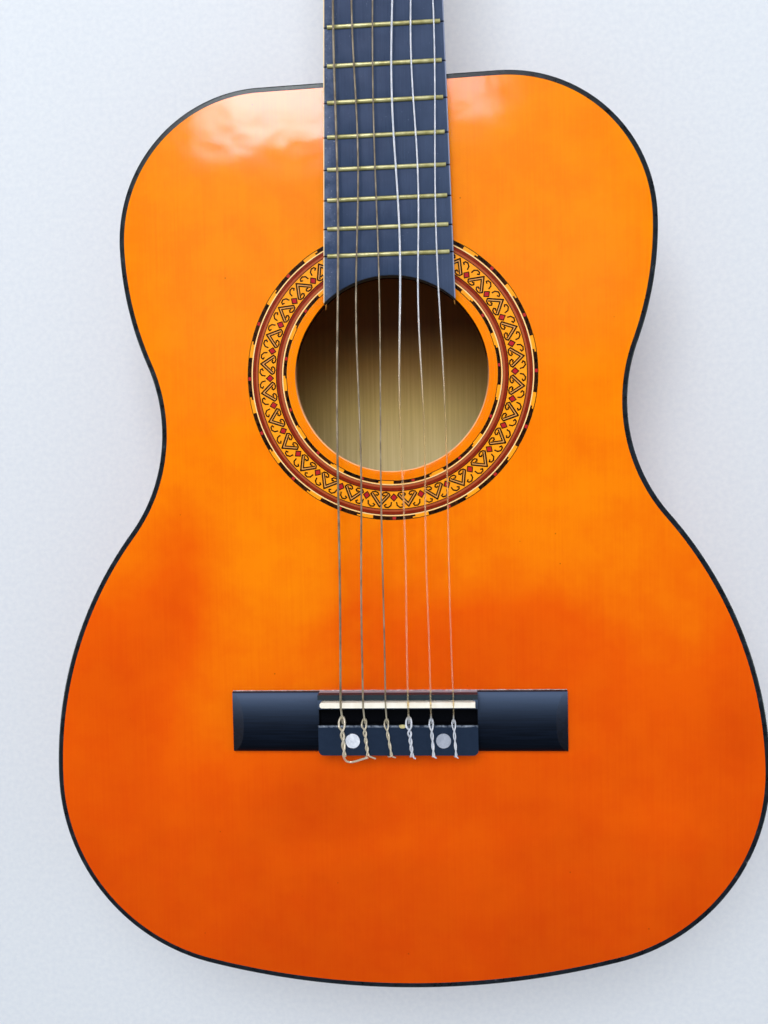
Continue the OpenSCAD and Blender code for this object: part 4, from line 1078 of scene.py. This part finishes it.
# Old hide glue with flakes of lacquer in it: greyish, crumbly and dull
old_glue = mottled_finish("squeezed_out_glue", 1.5, 4, [
    (0.3, "#8E7F80"), (0.55, "#B9AAAA"), (0.75, "#EDE6E2")], 0.15, Roughness=0.5)


def add_glue(name, x, y, radius, length, sides, cuts, reach, seed):
    """A crooked bead of glue along the bridge's edge, in mm."""
    glue = add_rod((x, y, BODY_DEPTH + 0.1), radius, length, "X", sides)
    pick(glue, "EDGE", lambda e: e.calc_length() > 2 * MM)
    bpy.ops.mesh.subdivide(number_cuts=cuts)
    roughen(reach, seed)
    finish_piece(glue, name, old_glue, "bridge_wood")


add_glue("front_glue_line", 0, BRIDGE_FRONT, 0.32, BRIDGE_LEN, 10, 90, 0.16, 3)
for number, (x, length) in enumerate(((-36.5, 5), (-10, 3), (11, 4), (34, 6))):
    add_glue("rear_glue_crumb_%d" % (number + 1), x, BRIDGE_BACK, 0.3, length, 8, 8, 0.22, number)


# ---------- Saddle ----------
# A cream plastic strip standing in its slot. It is a little shorter than the middle of the
# bridge, with a round top, its bass end rounded off and its treble end cut square.

SADDLE_H = 12.5
saddle = add_box((-SADDLE_LEN / 2 - 0.9, -SADDLE_W / 2, BODY_DEPTH + SLOT_FLOOR),
                 (SADDLE_LEN / 2 + 0.9, SADDLE_W / 2 - 0.5, BODY_DEPTH + SADDLE_H))
pick(saddle, "EDGE", lambda e: all(v.co.x < 0 for v in e.verts) and upright(e))
bpy.ops.mesh.bevel(offset=1.4 * MM, segments=6)
pick(saddle, "EDGE", lambda e: all(v.co.z > (BODY_DEPTH + SADDLE_H - 0.1) * MM for v in e.verts))
bpy.ops.mesh.bevel(offset=1.1 * MM, segments=5)
finish_piece(saddle, "saddle_strip", cream_plastic, "bone_plastic", "saddle")


# ---------- Bridge bolts and dots ----------
# Two steel bolts hold the bridge to the plate under the top. Their heads are hidden by pearly
# plastic dots pressed in flush; the bass one is chipped round its rim.

# Nickel-plated steel, handled and dulled: grey with a blurred shine
machine_steel = mottled_finish("plated_steel", 3, 3, [(0.35, "#A4A8AC"), (0.65, "#C8CCD0")], 0,
                               (0.25, 0.42), Metallic=0.9)
paint_node("bridge_bolts", machine_steel)

# Pearly plastic: swirled, milky and glossy, greyer on the treble dot
pearl, tree, shader, at = new_finish("pearly_plastic", Roughness=0.3, Coat_Weight=0.4, Coat_Roughness=0.1)
axes = add_node(tree, "SeparateXYZ", at).node.outputs
swirl = add_node(tree, "TexNoise", Vector=at, Scale=1 / (2.5 * MM), Detail=3, Distortion=1.5)
shade = add_node(tree, "ValToRGB", swirl, ramp=[(0.3, "#C3CCDA"), (0.7, "#E6ECF6")])
treble_side = add_node(tree, "Math", axes["X"], 0.0, operation="GREATER_THAN")
set_look(tree, shader, lay_over(tree, shade, "#C4C6CC", treble_side, blend="MULTIPLY"), swirl, 0.03)

DOT_R, DOT_T = 3.8, 0.9
dot_z = BRIDGE_Z - 0.38
for hand, name, sides, replaced in ((-1, "bass_dot", 22, ["bridge_dots"]), (1, "treble_dot", 48, [])):
    dot = add_rod((hand * BOLT_X, BOLT_Y, dot_z), DOT_R, DOT_T, "Z", sides)
    if hand < 0:
        roughen(0.2, 5)
        bpy.ops.transform.resize(value=(1, 1, 0.8))
    pick(dot, "EDGE", lambda e: all(v.co.z > dot_z * MM for v in e.verts))
    bpy.ops.mesh.bevel(offset=0.15 * MM, segments=2)
    finish_piece(dot, name, pearl, "pearl_plastic", *replaced)


# ---------- Strings ----------
# Three wound strings and three plain nylon ones, slack and slightly wavy. Each runs through the tie
# block, loops round itself, and is twisted back over the block to a ragged end. At the head it
# winds round its roller, which it stays on.

HEAD_ANGLE = math.radians(14)
HEAD_FRAME = Matrix.Translation((0, 655 * MM, BODY_DEPTH * MM)) @ Matrix.Rotation(-HEAD_ANGLE, 4, "X")
ROLLER_N, ROLLER_D = -9, 9.6
TURNS, TURN_STEPS = 2.3, 46
# A string's height over the nut: the nut's top, less its notch, and a hair above that
NUT_STRING_Z = BODY_DEPTH + 9.1 - 0.4 + 0.05
# Where the twist starts behind the tie block's front edge, and how far back it runs
TWIST_Y, TWIST_RUN = -11.7, 15.4
# Sideways waves of the slack strings: reach in mm, number of waves, phase in degrees
SWAY = [(0.9, 3, 40), (1.2, 4, 200), (0.8, 3, 120), (1.3, 4, 300), (1.0, 5, 80), (1.2, 3, 240)]
SWAY_STEPS = 40
SAG = 0.5
# Each tie, in mm: half twists, how far the twist drifts, the loop's mouth and the loop's half width
TIES = [(3, 1.1, -7.4, 1.5), (4, 1.7, -8.9, 1.15), (3, 2.4, -9.0, 1.0), (4, 1.5, -7.9, 1.35),
        (3, 1.0, -9.0, 0.95), (3, 0.9, -9.5, 0.85)]
# Each loose tail from its tip to the block, in mm: aside, along and above the top
TAILS = [
    [(13.2, -28.2, 9.7), (10.8, -29.0, 9.0), (7.6, -30.4, 8.0), (4.6, -31.4, 7.4), (2.4, -31.2, 7.6),
     (1.2, -29.9, 8.8)],
    [(5.4, -29.0, 8.8), (4.2, -28.2, 9.8), (3.2, -27.6, 10.4)],
    [(4.3, -28.4, 9.0), (3.6, -27.9, 10.0)],
    [(2.9, -28.8, 9.2), (2.2, -28.1, 10.3)],
    [(2.2, -28.5, 9.2), (1.9, -28.0, 10.2)],
    [(1.9, -28.5, 9.3), (1.7, -28.0, 10.2)],
]


def roller_s(k):
    """How far along the head its roller k is on either side, in mm."""
    return 46 + 35 * k


def tuner(i):
    """The side of string i's tuner, and its place along that side."""
    return (-1, i) if i < 3 else (1, 5 - i)


def on_head(x, s, n):
    """A place on the tilted head, in mm aside, along and out of its face, as a place in the frame."""
    return tuple(HEAD_FRAME @ (Vector((x, s, n)) * MM) / MM)


def tie_point(i, strand, t):
    """A place on one of the two twisted strands over the block: t is 0 at its front, 1 behind."""
    twists, drift, _, half = TIES[i]
    d = STRING_D[i]
    turn = math.pi * twists * t
    reach = 0.55 * d + (half - 0.55 * d) * (1 - t) ** 4
    return (STRINGS_AT[i] + drift * t + strand * reach * math.cos(turn), TWIST_Y - TWIST_RUN * t,
            BRIDGE_Z + 1.12 * d + strand * 0.55 * d * math.sin(turn))


def string_path(i):
    """Every place that string i runs through, from its tail to its last turn on the roller."""
    x, d = STRINGS_AT[i], STRING_D[i]
    twists, drift, mouth, half = TIES[i]
    steps = 4 * twists
    # The loop behind the saddle, which the long run passes through
    line = BODY_DEPTH + TIE_HOLE_H + (mouth + 11.2) * 0.72
    loop = [(x + half, -10.6, BODY_DEPTH + 9.9), (x + half, 0.4 * mouth - 6.2, line + 1.2),
            (x + 0.5 * half, mouth, line - 1.1)]
    loop += [(2 * x - a, y, z) for a, y, z in reversed(loop)]
    path = [(x + a, y, BODY_DEPTH + z) for a, y, z in TAILS[i]]
    path += [tie_point(i, 1, 1 - s / steps) for s in range(steps + 1)] + loop
    path += [tie_point(i, -1, s / steps) for s in range(steps + 1)]
    # Down behind the block, and forward through its hole
    path += [(x + 0.4 * drift, -28.2, BODY_DEPTH + 8.6), (x, -28.3, BODY_DEPTH + 6.4)]
    path += [(x, y, BODY_DEPTH + TIE_HOLE_H) for y in (-27.4, -20, -11.2)]
    # Over the saddle's round top
    crown = (SADDLE_W + d) / 2 + 0.06
    crown_z = BODY_DEPTH + SADDLE_H - SADDLE_W / 2
    for angle in (34, 17, 6):
        a = math.radians(angle)
        path.append((x, -crown * math.sin(a), crown_z + crown * math.cos(a)))
    # The slack run to the nut
    nut_x = -20 + 8 * i
    reach, waves, phase = SWAY[i]
    for step in range(SWAY_STEPS + 1):
        t = step / SWAY_STEPS
        swell = math.sin(math.pi * t)
        sway = reach * swell * math.sin(2 * math.pi * waves * t + math.radians(phase))
        path.append((x + (nut_x - x) * t + sway, NUT_Y * t,
                     crown_z + crown + (NUT_STRING_Z - crown_z - crown) * t - SAG * swell))
    path.append((nut_x, NUT_Y + 5, NUT_STRING_Z))
    # Round the roller, each turn beside the last
    side, k = tuner(i)
    wrap_x = side * (9 + 9.5 - 1.8 * k)
    radius = ROLLER_D / 2 + 0.15 + d / 2
    for step in range(-1, TURN_STEPS + 1):
        a = math.radians(90 - 360 * TURNS * step / TURN_STEPS)
        path.append(on_head(wrap_x + side * d * (max(step, 0) / TURN_STEPS - 0.5) * TURNS,
                            roller_s(k) + radius * math.cos(a), ROLLER_N + radius * math.sin(a)))
    return path


def add_tube(name, points, radius, sides=2, smoothness=3):
    """A closed round tube along places in mm, as a mesh in edit mode."""
    line = bpy.data.curves.new(name, "CURVE")
    line.dimensions = "3D"
    line.bevel_depth = radius * MM
    line.bevel_resolution = sides
    line.use_fill_caps = True
    spline = line.splines.new("NURBS")
    spline.points.add(len(points) - 1)
    for point, place in zip(spline.points, points):
        point.co = (*(c * MM for c in place), 1)
    spline.order_u = 3
    spline.use_endpoint_u = True
    spline.resolution_u = smoothness
    tube = bpy.data.objects.new(name, line)
    bpy.context.scene.collection.objects.link(tube)
    take_up(tube)
    bpy.ops.object.convert(target="MESH")
    bpy.ops.object.mode_set(mode="EDIT")
    bpy.ops.mesh.select_all(action="SELECT")
    bpy.ops.mesh.remove_doubles(threshold=0.01 * MM)
    return bpy.context.object


# Bronze wire wound on a floss core: browned by fingers, with fine ridges that glint across the string
bronze_wound, tree, shader, at = new_finish("bronze_wound_string", Metallic=0.6, Roughness=0.38)
axes = add_node(tree, "SeparateXYZ", at).node.outputs
grime = add_node(tree, "TexNoise", Vector=at, Scale=1 / (7 * MM), Detail=4)
shade = add_node(tree, "ValToRGB", grime, ramp=[(0.35, "#8A7F68"), (0.65, "#BBB095")])
# Fingers never dulled the windings at the bridge
shade = lay_over(tree, shade, "#F4ECD2", add_node(tree, "MapRange", axes["Y"], 2 * MM, -6 * MM))
windings = add_node(tree, "Math", axes["Y"], 2 * math.pi / (0.34 * MM), operation="MULTIPLY")
set_look(tree, shader, shade, add_node(tree, "Math", windings, operation="SINE"), 0.03, strength=0.6)

# Plain nylon: clear and faintly warm, milky where it is kinked at the bridge, and bluish white over the
# frets as a painted reflection
clear_nylon, tree, shader, at = new_finish("clear_nylon_string", Roughness=0.12, IOR=1.3,
                                           Specular_IOR_Level=0.3)
axes = add_node(tree, "SeparateXYZ", at).node.outputs
cloudy = add_node(tree, "TexNoise", Vector=at, Scale=1 / (3 * MM), Detail=4)
shade = add_node(tree, "ValToRGB", cloudy, ramp=[(0.35, "#D8E0EC"), (0.65, "#F6F9FF")])
kinked = add_node(tree, "MapRange", axes["Y"], -5 * MM, -9 * MM)
# Painted reflection over the fingerboard: bluish white and less clear
board_reflection = add_node(tree, "MapRange", axes["Y"], 150 * MM, 208 * MM)
milky = add_node(tree, "Math", kinked, board_reflection, operation="MAXIMUM")
see_through = add_node(tree, "MapRange", milky, 0, 1, 0.88, 0.35)
tree.links.new(see_through, shader.inputs["Transmission Weight"])
clear = add_node(tree, "MapRange", milky, 0, 1, 1, 0)
set_look(tree, shader, lay_over(tree, shade, "#FFEFC8", clear), cloudy, 0.05)

for i in range(6):
    node = "string_%d" % (6 - i)
    finish, slot = (bronze_wound, "wound_string") if i < 3 else (clear_nylon, "nylon_string")
    finish_piece(add_tube("string", string_path(i), STRING_D[i] / 2), node + "_run", finish, slot, node,
                 smooth=60)


# ---------- Tuning plates ----------
# A stamped brass strip is screwed along each side of the head. Pairs of folded lugs carry the worms.

# Thin brass plating gone brown in patches: dull where it is dark, and shinier where it is clean
machine_brass = mottled_finish("tarnished_machine_brass", 4, 5, [
    (0.32, "#8C6E2E"), (0.55, "#C8A24C"), (0.75, "#DFC072")], 0.03, (0.5, 0.28), 0.65, Metallic=0.85)

for node in ("plate_bass", "plate_treble"):
    finish_piece(copy_node(node, 0.3), node + "_strip", machine_brass, "machine_brass", node)


# ---------- Plate screws ----------
# Small brass wood screws with domed heads, four to each plate, run into the head's sides.

finish_piece(copy_node("plate_screws", 0.7, 3), "plate_screw_set", machine_brass, "machine_brass",
             "plate_screws")


# ---------- Rollers ----------
# White plastic sleeves across the slots, each turning in a hole in the head's side and a blind
# hole in the middle rib. The strings wind on them.

# Moulded plastic, greyed by handling: an even, waxy white without a coat
roller_plastic = mottled_finish("white_roller_plastic", 5, 4, [(0.35, "#DAD8CF"), (0.65, "#F2F0E8")],
                                0.02, Roughness=0.4)

for number in range(1, 7):
    node = "roller_%d" % number
    finish_piece(copy_node(node, 0.35), node + "_sleeve", roller_plastic, "roller_plastic", node,
                 body=node)


# ---------- Gears ----------
# A cast brass wheel with fourteen teeth on the end of each roller, held by a slotted screw.

SCREW_R, SCREW_T, SCREW_X = 3.1, 1.5, 42.7
for i in range(6):
    side, k = tuner(i)
    number = 6 - i
    roller = "roller_%d" % number
    finish_piece(copy_node("gear_%d" % number, 0.2), "gear_%d_wheel" % number, machine_brass,
                 "machine_brass", "gear_%d" % number, body=roller)
    screw = add_rod((0, 0, 0), SCREW_R, SCREW_T, "X", 24)
    pick(screw, "EDGE", lambda e: all(side * v.co.z > 0 for v in e.verts))
    bpy.ops.mesh.bevel(offset=0.8 * MM, segments=4)
    cut_away(screw, add_box((side * SCREW_T / 2 - 0.5, -4, -0.35), (side * SCREW_T / 2 + 0.5, 4, 0.35)))
    place = Matrix.Translation(Vector((side * SCREW_X, roller_s(k), ROLLER_N)) * MM)
    screw.matrix_basis = HEAD_FRAME @ place @ screw.matrix_basis
    finish_piece(screw, "gear_%d_screw" % number, machine_brass, "machine_brass", body=roller)


# ---------- Worms ----------
# A steel shaft in the plate's lugs, with a coarse thread between them that turns the gear, and a
# long end behind the head for the button.

WORM_X, WORM_S = 39.9, -9.2
THREAD_R, THREAD_LEN, THREAD_TURNS, THREAD_STEPS = 2.25, 7.4, 2.7, 64
for i in range(6):
    side, k = tuner(i)
    number = 6 - i
    button = "button_%d" % number
    finish_piece(copy_node("worm_%d" % number, 0.3), "worm_%d_shaft" % number, machine_steel, "steel",
                 "worm_%d" % number, body=button)
    thread = []
    for step in range(THREAD_STEPS + 1):
        t = step / THREAD_STEPS
        turn = 2 * math.pi * THREAD_TURNS * t
        thread.append(on_head(side * WORM_X + THREAD_R * math.cos(turn),
                              roller_s(k) + WORM_S + THREAD_R * math.sin(turn),
                              ROLLER_N - THREAD_LEN / 2 + THREAD_LEN * t))
    finish_piece(add_tube("thread", thread, 0.42, 1, 1), "worm_%d_thread" % number, machine_steel,
                 "steel", body=button, smooth=50)


# ---------- Buttons ----------
# Cream plastic buttons moulded with soft edges, pressed on the ends of the worm shafts.

for number in range(1, 7):
    node = "button_%d" % number
    finish_piece(copy_node(node, 1.7, 4), node + "_grip", cream_plastic, "button_plastic", node,
                 body=node)
